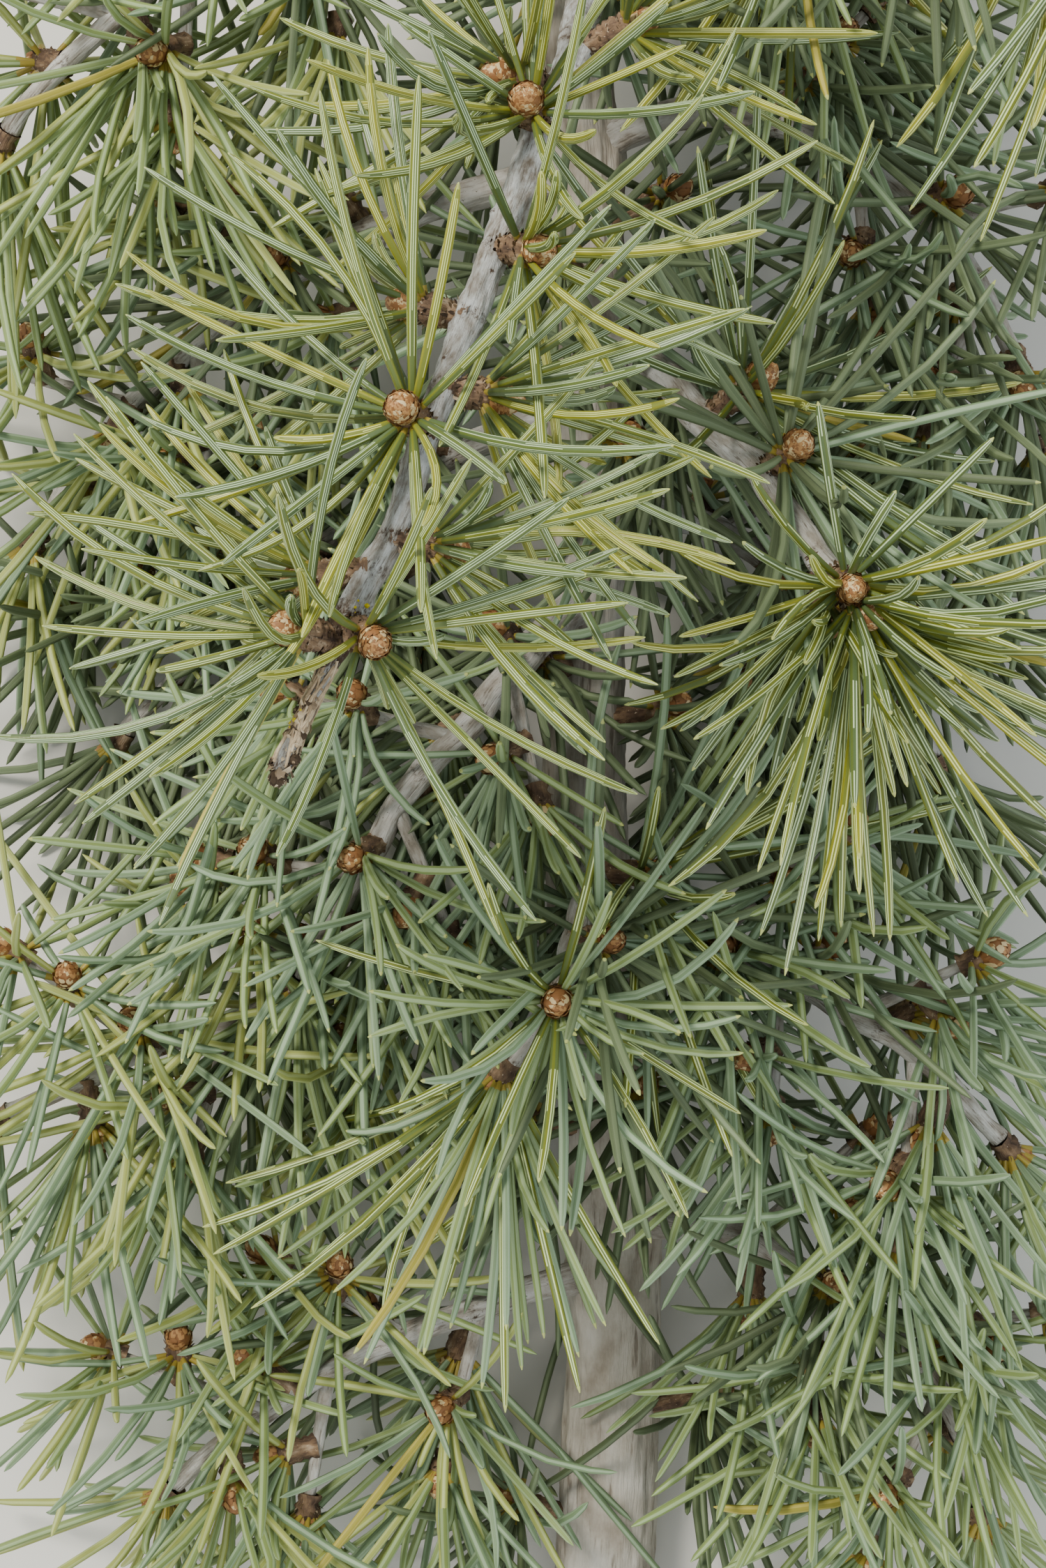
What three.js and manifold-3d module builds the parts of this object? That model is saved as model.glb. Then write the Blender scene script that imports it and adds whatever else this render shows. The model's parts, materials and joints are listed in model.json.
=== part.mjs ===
// A cut branch of deodar cedar, lying on the ground.
// A grey main stem runs along +Y from its flat cut end to its leading shoot. Side shoots leave it on all
// sides, arch over and droop back towards the cut end. Tufts of needles stand on short spurs along every
// shoot, each round a brown bud. The front shoot arches highest and ends in a dead stub.
// Units are millimetres. +Z is up and the ground is at z = 0.

import * as THREE from 'three';
import { mergeVertices } from 'three/addons/utils/BufferGeometryUtils.js';
import Module from 'manifold-3d';

const wasm = await Module();
wasm.setup();

const GAP = 0.3; // clearance between neighbouring pieces
const GOLDEN_TURN = 137.508; // degrees between one tuft and the next round a shoot
const GOLDEN_SHARE = 0.618034; // spreads the needles of a tuft evenly round it

// Main stem
const STEM_CUT_Y = -140;
const STEM_TIP_Y = 138;
const STEM_CUT_X = 12;
const STEM_LEAN_X = -6; // how far the tip lies to the side of the cut end
const STEM_SWAY = 1.3;
const STEM_RISE = 42; // how far the tip is lifted above the cut end
const STEM_CUT_RADIUS = 7.8;
const STEM_TIP_RADIUS = 4.2;
const STEM_SIDES = 14;
const STEM_STEPS = 14;

// Shoots
const SHOOT_SIDES = 7;
const COLLAR_SWELL = 0.35; // extra radius where a shoot leaves the stem
const COLLAR_LENGTH = 10;

// Needles, buds and spurs
const NEEDLE_RADIUS = 0.95;
const NEEDLE_STATIONS = [0, 0.5, 1]; // root, widest place and point, as shares of a needle's length
const NEEDLE_BOW = [0.02, 0.13]; // how far a needle's middle hangs below the straight line, as a share of it
const NEEDLE_SIDE_BOW = 0.07; // how far its point strays to the side
const HANG = [0, -0.3, 0]; // how far needles lean towards the cut end, except on the front shoot
const SPUR_RADIUS = 1.35;
const HEAD_RADIUS = 2.0;
const HEAD_LENGTH = 2.2;
const BUD_RADIUS = 1.6;
const BUD_LENGTH = 3.8;
const SPUR_SIDES = 5;

// Side shoots. Each leaves the stem's axis at y = at and is one cubic Bezier curve: leave is where it heads
// from the stem, tip is where it ends, and arrive is where it comes from at its tip.
// bare is the share of its length that is limb. The rest is the twig of its end spray, with this number of
// tufts. side is the share at which one more tuft stands on the limb itself. turn places the tufts round the
// shoot, and needles and reach are the number and length of their needles. spacing and lean, where given,
// take the place of TUFT_SPACING and TUFT_LEAN in the end spray. shrink shortens the needles of all its tufts
// but the last, and sweep is how far those of the last lean.
const SHOOTS = {
  right: {
    at: 62, leave: [8, -2, 24], arrive: [-9, 16, -18], tip: [41, 24, 91], radii: [2.6, 1.6], bare: 0.62,
    tufts: 3, turn: 222, needles: 12, reach: [34, 48], side: 0.47, spacing: 4, lean: 1.6, shrink: 0.65,
    sweep: [0.15, -0.6, 0],
  },
  middle: {
    at: -8, leave: [2, 4, 25], arrive: [10, 10, 5], tip: [-1.5, -37, 65], radii: [2.4, 1.4], bare: 0.56,
    tufts: 2, turn: 222, needles: 12, reach: [34, 46], side: 0.42, spacing: 11, shrink: 0.72,
    sweep: [0.1, -0.75, 0],
  },
  lower_left: {
    at: 26, leave: [-6, -4, 25], arrive: [9, 21, 15], tip: [-31, -27, 45], radii: [2.4, 1.3], bare: 0.58,
    tufts: 3, turn: 100, needles: 9, reach: [28, 38], side: 0.4,
  },
  bottom_left: {
    at: -24, leave: [-22, 2, 9], arrive: [21, 11, 2], tip: [-73, -47, 41], radii: [2.4, 1.3], bare: 0.5,
    tufts: 3, turn: 120, needles: 9, reach: [30, 40], side: 0.32,
  },
  left: {
    at: 85, leave: [-24, -1, 6], arrive: [19, 31, 11], tip: [-71, 37, 27], radii: [2.3, 1.2], bare: 0.5,
    tufts: 3, turn: 60, needles: 9, reach: [28, 38], side: 0.32,
  },
  top_left: {
    at: 118, leave: [-21, 10, 11], arrive: [20, 25, 10], tip: [-70, 89, 60], radii: [2.2, 1.2], bare: 0.5,
    tufts: 3, turn: 10, needles: 9, reach: [30, 40], side: 0.3,
  },
  top_right: {
    at: 112, leave: [11, 14, 26], arrive: [-14, 22, -1], tip: [68, 106, 113], radii: [2.3, 1.2], bare: 0.62,
    tufts: 2, turn: 60, needles: 12, reach: [32, 42], side: 0.47,
  },
  upper_right: {
    at: 88, leave: [14, 12, 9], arrive: [-11, 42, 11], tip: [73, 50, 41], radii: [2.3, 1.2], bare: 0.5,
    tufts: 3, turn: 240, needles: 9, reach: [30, 40], side: 0.32,
  },
  lower_right: {
    at: -20, leave: [15, 2, 18], arrive: [-15, 18, 11], tip: [67, -50, 45], radii: [2.3, 1.2], bare: 0.52,
    tufts: 3, turn: 300, needles: 9, reach: [30, 40], side: 0.35,
  },
  bottom_right: {
    at: -66, leave: [13, 4, 11], arrive: [-6, 32, 11], tip: [66, -104, 33], radii: [2.2, 1.2], bare: 0.5,
    tufts: 3, turn: 30, needles: 9, reach: [28, 38], side: 0.32,
  },
  bottom_corner: {
    at: -74, leave: [-17, 0, 12], arrive: [17, 19, 11], tip: [-51, -103, 27], radii: [2.2, 1.2], bare: 0.5,
    tufts: 3, turn: 170, needles: 9, reach: [28, 38], side: 0.32,
  },
  back_left: {
    at: 52, leave: [-19, 2, -6], arrive: [18, 20, 6], tip: [-60, 8, 15], radii: [2.1, 1.2], bare: 0.55,
    tufts: 2, turn: 90, needles: 10, reach: [26, 34], side: null,
  },
  back_right: {
    at: 40, leave: [19, 2, -5], arrive: [-12, 22, 4], tip: [62, 4, 14], radii: [2.1, 1.2], bare: 0.55,
    tufts: 2, turn: 270, needles: 10, reach: [26, 34], side: null,
  },
  top_back: {
    at: 130, leave: [16, 10, -6], arrive: [-12, 16, 8], tip: [58, 120, 20], radii: [2.0, 1.2], bare: 0.55,
    tufts: 2, turn: 200, needles: 10, reach: [26, 34], side: null,
  },
};

// The front shoot arches over the rest. Its tufts are placed one by one: back is the distance from the
// shoot's dead tip, aim is the way the spur points, open is the range of angles between needle and spur, and
// sweep is the way that the needles lean.
const FRONT = { at: 100, leave: [6, 26, 30], arrive: [30, 62, 10], tip: [-28, 1, 125], radii: [2.7, 1.6] };
const FRONT_BEND = 0.36; // share of the length at which the front shoot is split
const FRONT_NECK = { back: 8, share: 0.42, length: 5 }; // where it thins before its dead tip, and by how much
const FRONT_TUFTS = {
  a: {
    back: 17, aim: [-0.7, 0.14, 0.68], spur: 4.6, open: [40, 92], reach: [28, 37], needles: 14,
    sweep: [-0.4, -0.15, 0],
  },
  b: {
    back: 19, aim: [0.5, -0.33, 0.8], spur: 3.6, open: [48, 94], reach: [28, 37], needles: 14,
    sweep: [0.42, -0.42, 0],
  },
  c: {
    back: 26, aim: [-0.88, -0.1, -0.3], spur: 5.5, open: [15, 70], reach: [26, 34], needles: 11,
    sweep: [-0.1, 0.35, 0],
  },
  d: {
    back: 30, aim: [0.93, -0.15, -0.1], spur: 3.6, open: [15, 78], reach: [28, 36], needles: 12,
    sweep: [0.2, -0.1, 0],
  },
  e: {
    back: 43.5, aim: [-0.36, 0.26, 0.88], spur: 4, open: [48, 94], reach: [28, 37], needles: 16,
    sweep: [-0.22, 0.05, 0],
  },
  f: {
    back: 49, aim: [0.92, -0.1, -0.1], spur: 3.6, open: [15, 75], reach: [28, 36], needles: 13,
    sweep: [0.2, -0.05, 0],
  },
  g: {
    back: 59, aim: [-0.9, 0.25, -0.25], spur: 5, open: [15, 75], reach: [28, 36], needles: 11,
    sweep: [0, 0.25, 0],
  },
  h: {
    back: 69, aim: [0.65, -0.12, 0.72], spur: 4.5, open: [20, 84], reach: [28, 36], needles: 13,
    sweep: [0.15, 0, 0],
  },
  i: {
    back: 88, aim: [-0.2, 0.3, 0.9], spur: 3.6, open: [30, 80], reach: [28, 36], needles: 12,
    sweep: [0, 0.1, 0],
  },
  j: {
    back: 96, aim: [-0.75, 0.1, 0.45], spur: 5, open: [20, 80], reach: [28, 36], needles: 10,
    sweep: [-0.2, 0, 0],
  },
  k: {
    back: 106, aim: [0.8, 0.3, 0.3], spur: 6.5, open: [20, 80], reach: [28, 36], needles: 10,
    sweep: [0.2, 0, 0],
  },
};

// Tufts that stand on the main stem itself: y along the stem, turn round it from straight up.
const STEM_TUFTS = {
  a: { y: -114, turn: 285, spur: 7, reach: [26, 34], needles: 11 },
  b: { y: -96, turn: 70, spur: 7, reach: [26, 34], needles: 11 },
  c: { y: -46, turn: 20, spur: 7, reach: [26, 34], needles: 11 },
  d: { y: 70, turn: 340, spur: 7, reach: [26, 34], needles: 10 },
};

// The stem's own end, beyond its last side shoot
const LEADER = {
  length: 36, lift: 8, side: -4, radii: [4.1, 1.6], tufts: 4, turn: 40, needles: 10, reach: [28, 38],
};
const TUFT_SPACING = 12; // between the tufts of an end spray
const TUFT_LEAN = 0.35; // how far a spur leans towards its shoot's tip
const TUFT_SPUR = 5.5;
const TUFT_OPEN = [32, 90];
const END_OPEN = [28, 84];

const MATERIALS = {
  bark: new THREE.MeshStandardMaterial({ color: 0xaba79c, roughness: 0.85, metalness: 0 }),
  twig: new THREE.MeshStandardMaterial({ color: 0x9c9688, roughness: 0.85, metalness: 0 }),
  needles: new THREE.MeshStandardMaterial({ color: 0x8c9c7c, roughness: 0.55, metalness: 0 }),
};

const vector = ([x, y, z]) => new THREE.Vector3(x, y, z);
const flat = ({ x, y }) => new THREE.Vector3(x, y, 0);
const mix = THREE.MathUtils.lerp;
const radians = THREE.MathUtils.degToRad;

// A repeatable number from 0 to 1 for needle k of a tuft with this seed.
function chance(seed, k) {
  const s = Math.sin(seed * 127.1 + k * 311.7) * 43758.5453;
  return s - Math.floor(s);
}

// The centre line of the main stem. It leaves the cut end level and square to it.
class StemAxis extends THREE.Curve {
  getPoint(t, target = new THREE.Vector3()) {
    const ease = (1 - Math.cos(Math.PI * t)) / 2;
    return target.set(
      STEM_CUT_X + STEM_LEAN_X * ease + STEM_SWAY * (1 - Math.cos(4 * Math.PI * t)),
      mix(STEM_CUT_Y, STEM_TIP_Y, t),
      STEM_CUT_RADIUS + STEM_RISE * ease,
    );
  }
}

// A stretch of a curve, from share a to share b of its length.
class Stretch extends THREE.Curve {
  constructor(curve, a, b) {
    super();
    Object.assign(this, { curve, a, b });
  }
  getPoint(t, target = new THREE.Vector3()) {
    return this.curve.getPointAt(mix(this.a, this.b, t), target);
  }
}

const stemAxis = new StemAxis();
const stemShare = (y) => (y - STEM_CUT_Y) / (STEM_TIP_Y - STEM_CUT_Y);
const stemPoint = (y) => stemAxis.getPoint(stemShare(y));
const stemRadius = (t) => mix(STEM_CUT_RADIUS, STEM_TIP_RADIUS, t);

// Closes the seams and poles of a three.js shape.
function weld(geometry) {
  const merged = mergeVertices(geometry.deleteAttribute('normal').deleteAttribute('uv'), 1e-4);
  const faces = [];
  for (let i = 0; i < merged.index.count; i += 3) {
    const corners = merged.index.array.slice(i, i + 3);
    if (new Set(corners).size === 3) faces.push(...corners);
  }
  return merged.setIndex(faces);
}

// Bends an upright cylinder or cone of unit height along a curve. stations gives where its rings go,
// and radius their size there.
function bend(upright, curve, steps, radius, stations = null) {
  const geometry = weld(upright);
  const at = stations ?? Array.from({ length: steps + 1 }, (_, i) => i / steps);
  const frames = curve.computeFrenetFrames(steps, false);
  const position = geometry.getAttribute('position');
  const p = new THREE.Vector3();
  for (let i = 0; i < position.count; i++) {
    const [x, z] = [position.getX(i), position.getZ(i)];
    const ring = Math.round((position.getY(i) + 0.5) * steps);
    const scale = radius(at[ring]) / (Math.hypot(x, z) || 1);
    curve.getPointAt(at[ring], p);
    p.addScaledVector(frames.normals[ring], x * scale);
    p.addScaledVector(frames.binormals[ring], -z * scale);
    position.setXYZ(i, p.x, p.y, p.z);
  }
  return geometry;
}

function solidOf(geometry) {
  return new wasm.Manifold(new wasm.Mesh({
    numProp: 3,
    vertProperties: new Float32Array(geometry.attributes.position.array),
    triVerts: new Uint32Array(geometry.index.array),
  }));
}

function geometryOf(solid) {
  const { numProp, numVert, vertProperties, triVerts } = solid.getMesh();
  const position = new Float32Array(numVert * 3);
  for (let i = 0; i < numVert; i++) {
    position.set(vertProperties.subarray(i * numProp, i * numProp + 3), i * 3);
  }
  return new THREE.BufferGeometry()
    .setAttribute('position', new THREE.BufferAttribute(position, 3))
    .setIndex(new THREE.BufferAttribute(triVerts, 1));
}

function limb(curve, steps, sides, radius) {
  return solidOf(bend(new THREE.CylinderGeometry(1, 1, 1, sides, steps), curve, steps, radius));
}

// Everything that a needle has to stay clear of, as short round rods.
const rods = [];

function addRods(curve, steps, radius, owner, isSpur = false) {
  const points = curve.getSpacedPoints(steps);
  for (let i = 0; i < steps; i++) {
    const line = new THREE.Line3(points[i], points[i + 1]);
    rods.push({ line, radius: Math.max(radius(i / steps), radius((i + 1) / steps)), owner, isSpur });
  }
}

function isClear(curve, radius, owner) {
  const nearest = new THREE.Vector3();
  return curve.getSpacedPoints(16).slice(1).every((p) =>
    p.y > STEM_CUT_Y + radius && rods.every((rod) => {
      if (rod.owner === owner) return true;
      rod.line.closestPointToPoint(p, true, nearest);
      return nearest.distanceTo(p) > rod.radius + radius + GAP;
    }),
  );
}

// Whether a front tuft's needle passes over the front shoot or another of its spurs, seen from straight
// above. Its first third may.
function crossesFront(needle, own) {
  return needle.getSpacedPoints(15).slice(5).some((p) => rods.some(({ line, radius, owner, isSpur }) => {
    if (owner === own || !(owner.startsWith('front_shoot') || isSpur)) return false;
    const t = new THREE.Line3(flat(line.start), flat(line.end)).closestPointToPointParameter(flat(p), true);
    const under = line.at(t, new THREE.Vector3());
    return p.z > under.z && flat(p).distanceTo(flat(under)) < radius;
  }));
}

// The two directions square to a tuft's aim: up the stem, and to its left.
function across(aim) {
  const up = new THREE.Vector3(0, 1, 0).addScaledVector(aim, -aim.y);
  if (up.length() < 0.05) up.set(0, 0, 1).addScaledVector(aim, -aim.z);
  up.normalize();
  return [up, new THREE.Vector3().crossVectors(aim, up)];
}

// The centre line of needle k of a tuft, or null where there is no room for it.
function needleLine(tuft, k) {
  const { head, aim, seed, needles, open, reach, sweep, owner } = tuft;
  const [up, left] = across(aim);
  const share = (k + 0.5) / needles;
  const tilt0 = Math.acos(mix(Math.cos(radians(open[0])), Math.cos(radians(open[1])), share));
  const length = mix(reach[0], reach[1], chance(seed, k));
  const bow = mix(NEEDLE_BOW[0], NEEDLE_BOW[1], chance(seed, k + 40));
  for (const nudge of [0, 9, -9, 18, -18, 27]) {
    const turn = 2 * Math.PI * (k * GOLDEN_SHARE + chance(seed, 99)) + radians(nudge);
    const tilt = tilt0 - radians(Math.abs(nudge)) / 3;
    const way = up.clone().multiplyScalar(Math.cos(turn)).addScaledVector(left, Math.sin(turn))
      .multiplyScalar(Math.sin(tilt)).addScaledVector(aim, Math.cos(tilt)).add(sweep).normalize();
    const out = way.clone().addScaledVector(aim, -way.dot(aim)).normalize();
    const lean = Math.max(way.angleTo(aim), radians(open[0]));
    way.copy(out).multiplyScalar(Math.sin(lean)).addScaledVector(aim, Math.cos(lean));
    const rise = way.dot(aim);
    const side = new THREE.Vector3().crossVectors(way, aim).normalize();
    const bend = new THREE.Vector3(0, 1, 0).addScaledVector(way, -way.y);
    const root = head.clone().addScaledVector(out, HEAD_RADIUS * 0.62)
      .addScaledVector(aim, mix(0.15, 0.85, Math.max(rise, 0)) * HEAD_LENGTH);
    const elbow = root.clone().addScaledVector(way, length / 2).addScaledVector(bend, -length * bow);
    const tip = root.clone().addScaledVector(way, length)
      .addScaledVector(side, length * NEEDLE_SIDE_BOW * (2 * chance(seed, k + 70) - 1));
    elbow.z = Math.max(elbow.z, NEEDLE_RADIUS);
    tip.z = Math.max(tip.z, 0);
    const line = new THREE.QuadraticBezierCurve3(root, elbow, tip);
    const overFront = owner.startsWith('front') && crossesFront(line, owner);
    if (!overFront && isClear(line, NEEDLE_RADIUS, owner)) return line;
  }
  return null;
}

function needleSolid(line) {
  const spindle = new THREE.SphereGeometry(1, 3, 2).scale(1, 0.5, 1);
  return solidOf(bend(spindle, line, 2, (s) => (s > 0 && s < 1 ? NEEDLE_RADIUS : 0), NEEDLE_STATIONS));
}

// A spur with its head and bud, turned on a lathe and stood on the shoot's centre line.
function spurSolid(foot, aim, length) {
  const top = length + HEAD_LENGTH + BUD_LENGTH;
  const belly = top - BUD_LENGTH / 2;
  const profile = [[0, 0], [SPUR_RADIUS, 0], [HEAD_RADIUS, length], [BUD_RADIUS, belly], [0, top]]
    .map(([x, y]) => new THREE.Vector2(x, y));
  const turn = new THREE.Quaternion().setFromUnitVectors(new THREE.Vector3(0, 1, 0), aim);
  const geometry = weld(new THREE.LatheGeometry(profile, SPUR_SIDES)).applyQuaternion(turn);
  return solidOf(geometry.translate(foot.x, foot.y, foot.z));
}

// Plans a tuft on a shoot's centre line: its spur is in the way of other needles from now on.
function planTuft({ foot, aim, spur, sweep = HANG, ...rest }, owner) {
  const head = foot.clone().addScaledVector(aim, spur);
  const top = head.clone().addScaledVector(aim, HEAD_LENGTH + BUD_LENGTH);
  addRods(new THREE.LineCurve3(foot, top), 1, () => HEAD_RADIUS, owner, true);
  return { foot, aim, spur, sweep: vector(sweep), head, owner, ...rest };
}

// Joins a tuft's spur and needles, and keeps the needles in the way of later ones.
function tuftSolid(tuft) {
  let solid = spurSolid(tuft.foot, tuft.aim, tuft.spur);
  for (let k = 0; k < tuft.needles; k++) {
    const line = needleLine(tuft, k);
    if (!line) continue;
    addRods(line, 3, () => NEEDLE_RADIUS, tuft.owner);
    solid = solid.add(needleSolid(line));
  }
  return solid;
}

// The way out of a shoot at this share of its length, turned round it from straight up.
function wayOut(curve, share, turn, lean) {
  const along = curve.getTangentAt(share);
  const up = new THREE.Vector3(0, 0, 1).addScaledVector(along, -along.z).normalize();
  const left = new THREE.Vector3().crossVectors(along, up);
  return up.multiplyScalar(Math.cos(radians(turn))).addScaledVector(left, Math.sin(radians(turn)))
    .addScaledVector(along, lean).normalize();
}

function shootCurve({ at, leave, arrive, tip }) {
  const foot = stemPoint(at);
  const end = vector(tip);
  return new THREE.CubicBezierCurve3(
    foot, foot.clone().add(vector(leave)), end.clone().add(vector(arrive)), end,
  );
}

// The radius of a stretch of a shoot that runs from share a to share b of it.
function taper(curve, { radii, neck }, a, b) {
  const length = curve.getLength();
  return (t) => {
    const s = mix(a, b, t);
    const collar = 1 + COLLAR_SWELL * Math.exp((-s * length) / COLLAR_LENGTH);
    const fromTip = (1 - s) * length;
    const waist = neck ? 1 - neck.share * Math.exp(-(((fromTip - neck.back) / neck.length) ** 2)) : 1;
    return mix(radii[0], radii[1], s) * collar * waist;
  };
}

const branch = new THREE.Group();

function addPiece(name, solid, material) {
  const mesh = new THREE.Mesh(geometryOf(solid), MATERIALS[material]);
  mesh.name = name;
  branch.add(mesh);
}

// A limb or twig along part of a shoot, with the rods that stand for it.
function stretchOf(curve, shape, a, b, steps, owner) {
  const stretch = new Stretch(curve, a, b);
  const radius = taper(curve, shape, a, b);
  addRods(stretch, steps, radius, owner);
  return (extra = 0) => limb(stretch, steps, SHOOT_SIDES, (t) => radius(t) + extra);
}

// Main stem
addRods(stemAxis, 12, stemRadius, 'main_stem');
const stemSolid = (extra) => limb(stemAxis, STEM_STEPS, STEM_SIDES, (t) => stemRadius(t) + extra);
const stemClearance = stemSolid(GAP);
addPiece('main_stem', stemSolid(0), 'bark');

// The limbs come first, because no needle may touch one.
const tufts = [];
const sprays = [];

function planSpray(name, curve, from, { spacing = TUFT_SPACING, lean = TUFT_LEAN, shrink = 1, ...spec }) {
  const owner = name + '_spray';
  const twig = stretchOf(curve, spec, from, 1, 5, owner);
  const length = curve.getLength();
  const planned = [];
  for (let k = 0; k < spec.tufts; k++) {
    const share = 1 - (k * spacing) / length;
    const last = k === 0;
    planned.push(planTuft({
      foot: curve.getPointAt(share),
      aim: last ? curve.getTangentAt(1) : wayOut(curve, share, spec.turn + k * GOLDEN_TURN, lean),
      spur: last ? 1.5 : TUFT_SPUR,
      open: last ? END_OPEN : TUFT_OPEN,
      reach: last ? spec.reach : spec.reach.map((long) => long * shrink),
      needles: spec.needles,
      sweep: last ? spec.sweep : HANG,
      seed: length + k,
    }, owner));
  }
  sprays.push({ name: owner, twig, planned });
}

for (const [name, shoot] of Object.entries(SHOOTS)) {
  const curve = shootCurve(shoot);
  const clear = GAP / curve.getLength();
  const bough = stretchOf(curve, shoot, 0, shoot.bare, 8, name + '_shoot');
  addPiece(name + '_shoot', bough().subtract(stemClearance), 'twig');
  planSpray(name, curve, shoot.bare + clear, shoot);
  if (shoot.side === null) continue;
  tufts.push({
    clearance: bough(GAP),
    plan: planTuft({
      foot: curve.getPointAt(shoot.side),
      aim: wayOut(curve, shoot.side, shoot.turn + 60, TUFT_LEAN),
      spur: TUFT_SPUR + 1,
      open: TUFT_OPEN,
      reach: shoot.reach,
      needles: shoot.needles,
      seed: curve.getLength() + 9,
    }, name + '_tuft'),
  });
}

// The front shoot, split at its bend, with its tufts
const frontCurve = shootCurve(FRONT);
const frontLength = frontCurve.getLength();
const frontShape = { radii: FRONT.radii, neck: FRONT_NECK };
const frontBase = stretchOf(frontCurve, frontShape, 0, FRONT_BEND, 8, 'front_shoot_base');
const frontEnd = stretchOf(frontCurve, frontShape, FRONT_BEND + GAP / frontLength, 1, 16, 'front_shoot');
addPiece('front_shoot_base', frontBase().subtract(stemClearance), 'twig');
addPiece('front_shoot', frontEnd(), 'twig');
for (const [letter, { back, aim, ...rest }] of Object.entries(FRONT_TUFTS)) {
  const share = 1 - back / frontLength;
  const carrier = share > FRONT_BEND ? frontEnd : frontBase;
  tufts.push({
    clearance: carrier(GAP),
    plan: planTuft({
      foot: frontCurve.getPointAt(share), aim: vector(aim).normalize(), seed: back, ...rest,
    }, 'front_tuft_' + letter),
  });
}

for (const [letter, { y, turn, ...rest }] of Object.entries(STEM_TUFTS)) {
  const share = stemShare(y);
  tufts.push({
    clearance: stemClearance,
    plan: planTuft({
      foot: stemPoint(y), aim: wayOut(stemAxis, share, turn, TUFT_LEAN), open: TUFT_OPEN, seed: y, ...rest,
      spur: rest.spur + stemRadius(share),
    }, 'stem_tuft_' + letter),
  });
}

// The leading shoot carries on from the stem's tip.
const stemEnd = stemPoint(STEM_TIP_Y);
const leaderStart = stemEnd.clone().add(new THREE.Vector3(0, GAP, 0));
const leaderCurve = new THREE.QuadraticBezierCurve3(
  leaderStart,
  leaderStart.clone().add(new THREE.Vector3(0, LEADER.length / 2, 0)),
  leaderStart.clone().add(new THREE.Vector3(LEADER.side, LEADER.length, LEADER.lift)),
);
planSpray('leader', leaderCurve, 0, LEADER);

// Needles, front tufts first so that they keep the most of theirs
tufts.sort((a, b) => Number(b.plan.owner.startsWith('front')) - Number(a.plan.owner.startsWith('front')));
for (const { plan, clearance } of tufts) {
  addPiece(plan.owner, tuftSolid(plan).subtract(clearance), 'needles');
}
for (const { name, twig, planned } of sprays) {
  const solid = planned.reduce((joined, plan) => joined.add(tuftSolid(plan)), twig());
  addPiece(name, solid, 'needles');
}

// The origin is the middle of the ground that the branch covers.
const middle = new THREE.Box3().setFromObject(branch).getCenter(new THREE.Vector3());
for (const piece of branch.children) piece.geometry.translate(-middle.x, -middle.y, 0);

export default branch;
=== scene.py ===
import json
import math

import bpy
import numpy as np
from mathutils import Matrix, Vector


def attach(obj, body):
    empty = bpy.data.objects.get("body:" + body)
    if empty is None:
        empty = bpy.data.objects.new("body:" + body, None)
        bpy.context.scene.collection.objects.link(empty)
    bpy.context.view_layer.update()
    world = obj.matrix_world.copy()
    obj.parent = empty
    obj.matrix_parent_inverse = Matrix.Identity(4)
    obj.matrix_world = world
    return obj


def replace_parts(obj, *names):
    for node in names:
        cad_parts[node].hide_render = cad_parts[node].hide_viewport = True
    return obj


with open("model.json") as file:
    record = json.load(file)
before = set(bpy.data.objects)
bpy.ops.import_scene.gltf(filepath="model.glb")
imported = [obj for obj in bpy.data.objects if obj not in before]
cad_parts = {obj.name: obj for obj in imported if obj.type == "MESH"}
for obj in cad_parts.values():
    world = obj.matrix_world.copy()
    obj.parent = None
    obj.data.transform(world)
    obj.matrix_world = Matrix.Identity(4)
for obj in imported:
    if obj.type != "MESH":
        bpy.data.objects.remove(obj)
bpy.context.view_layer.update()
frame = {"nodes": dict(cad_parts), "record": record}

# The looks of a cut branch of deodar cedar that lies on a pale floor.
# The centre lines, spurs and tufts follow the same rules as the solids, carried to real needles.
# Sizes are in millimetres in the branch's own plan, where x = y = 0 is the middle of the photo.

UP = np.array([0.0, 0.0, 1.0])
ALONG = np.array([0.0, 1.0, 0.0])

# Main stem
STEM_CUT_Y, STEM_TIP_Y = -140.0, 138.0
STEM_CUT_X, STEM_LEAN_X, STEM_SWAY, STEM_RISE = 12.0, -6.0, 1.3, 42.0
STEM_CUT_RADIUS, STEM_TIP_RADIUS, STEM_SIDES = 7.8, 4.2, 64
# Swelling of the stem at a shoot's foot and of a shoot at a spur's: rise, reach along it, and round it
FOOT_SWELL, SPUR_SWELL = (1.1, 5.0, 0.7), (0.45, 2.0, 0.9)

GOLDEN_TURN, GOLDEN_SHARE = 137.508, 0.618034
COLLAR_SWELL, COLLAR_LENGTH = 0.35, 10.0
WANDER, FRONT_WANDER, SPUR_DARK = 0.4, 0.45, 0.42
SHOOT_LUMP, FRONT_LUMP, LUMP_RADIUS = 0.1, 0.12, 1.6  # relief of a shoot of this radius

# Tufts
TUFT_SPACING, TUFT_LEAN, TUFT_SPUR = 12.0, 0.35, 5.5
TUFT_OPEN, END_OPEN = (32, 90), (28, 84)  # degrees from a tuft's aim to its needles
END_SPUR, SIDE_SPUR, SIDE_TURN = 1.5, 6.5, 60
SPREAD_NEEDLES = 1.3  # how many more needles the last tuft has on the shoots in SPREAD
FILL_START, FILL_SPACING, FILL_GAP = 0.24, 12.0, 0.7  # of the tufts that fill the shoots up
FILL_SPUR, FILL_SPUR_SPREAD, FILL_NEEDLES, FILL_SHORTER = 3.6, 2.4, 0.9, (4, 5)
FLOOR_GAP = 3.0  # a tuft whose bud would come lower than this is left out
STEM_SPUR, STEM_TUFT_TOP, STEM_REACH, STEM_FILL_NEEDLES = 7.0, 14.0, (26, 34), 9

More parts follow.
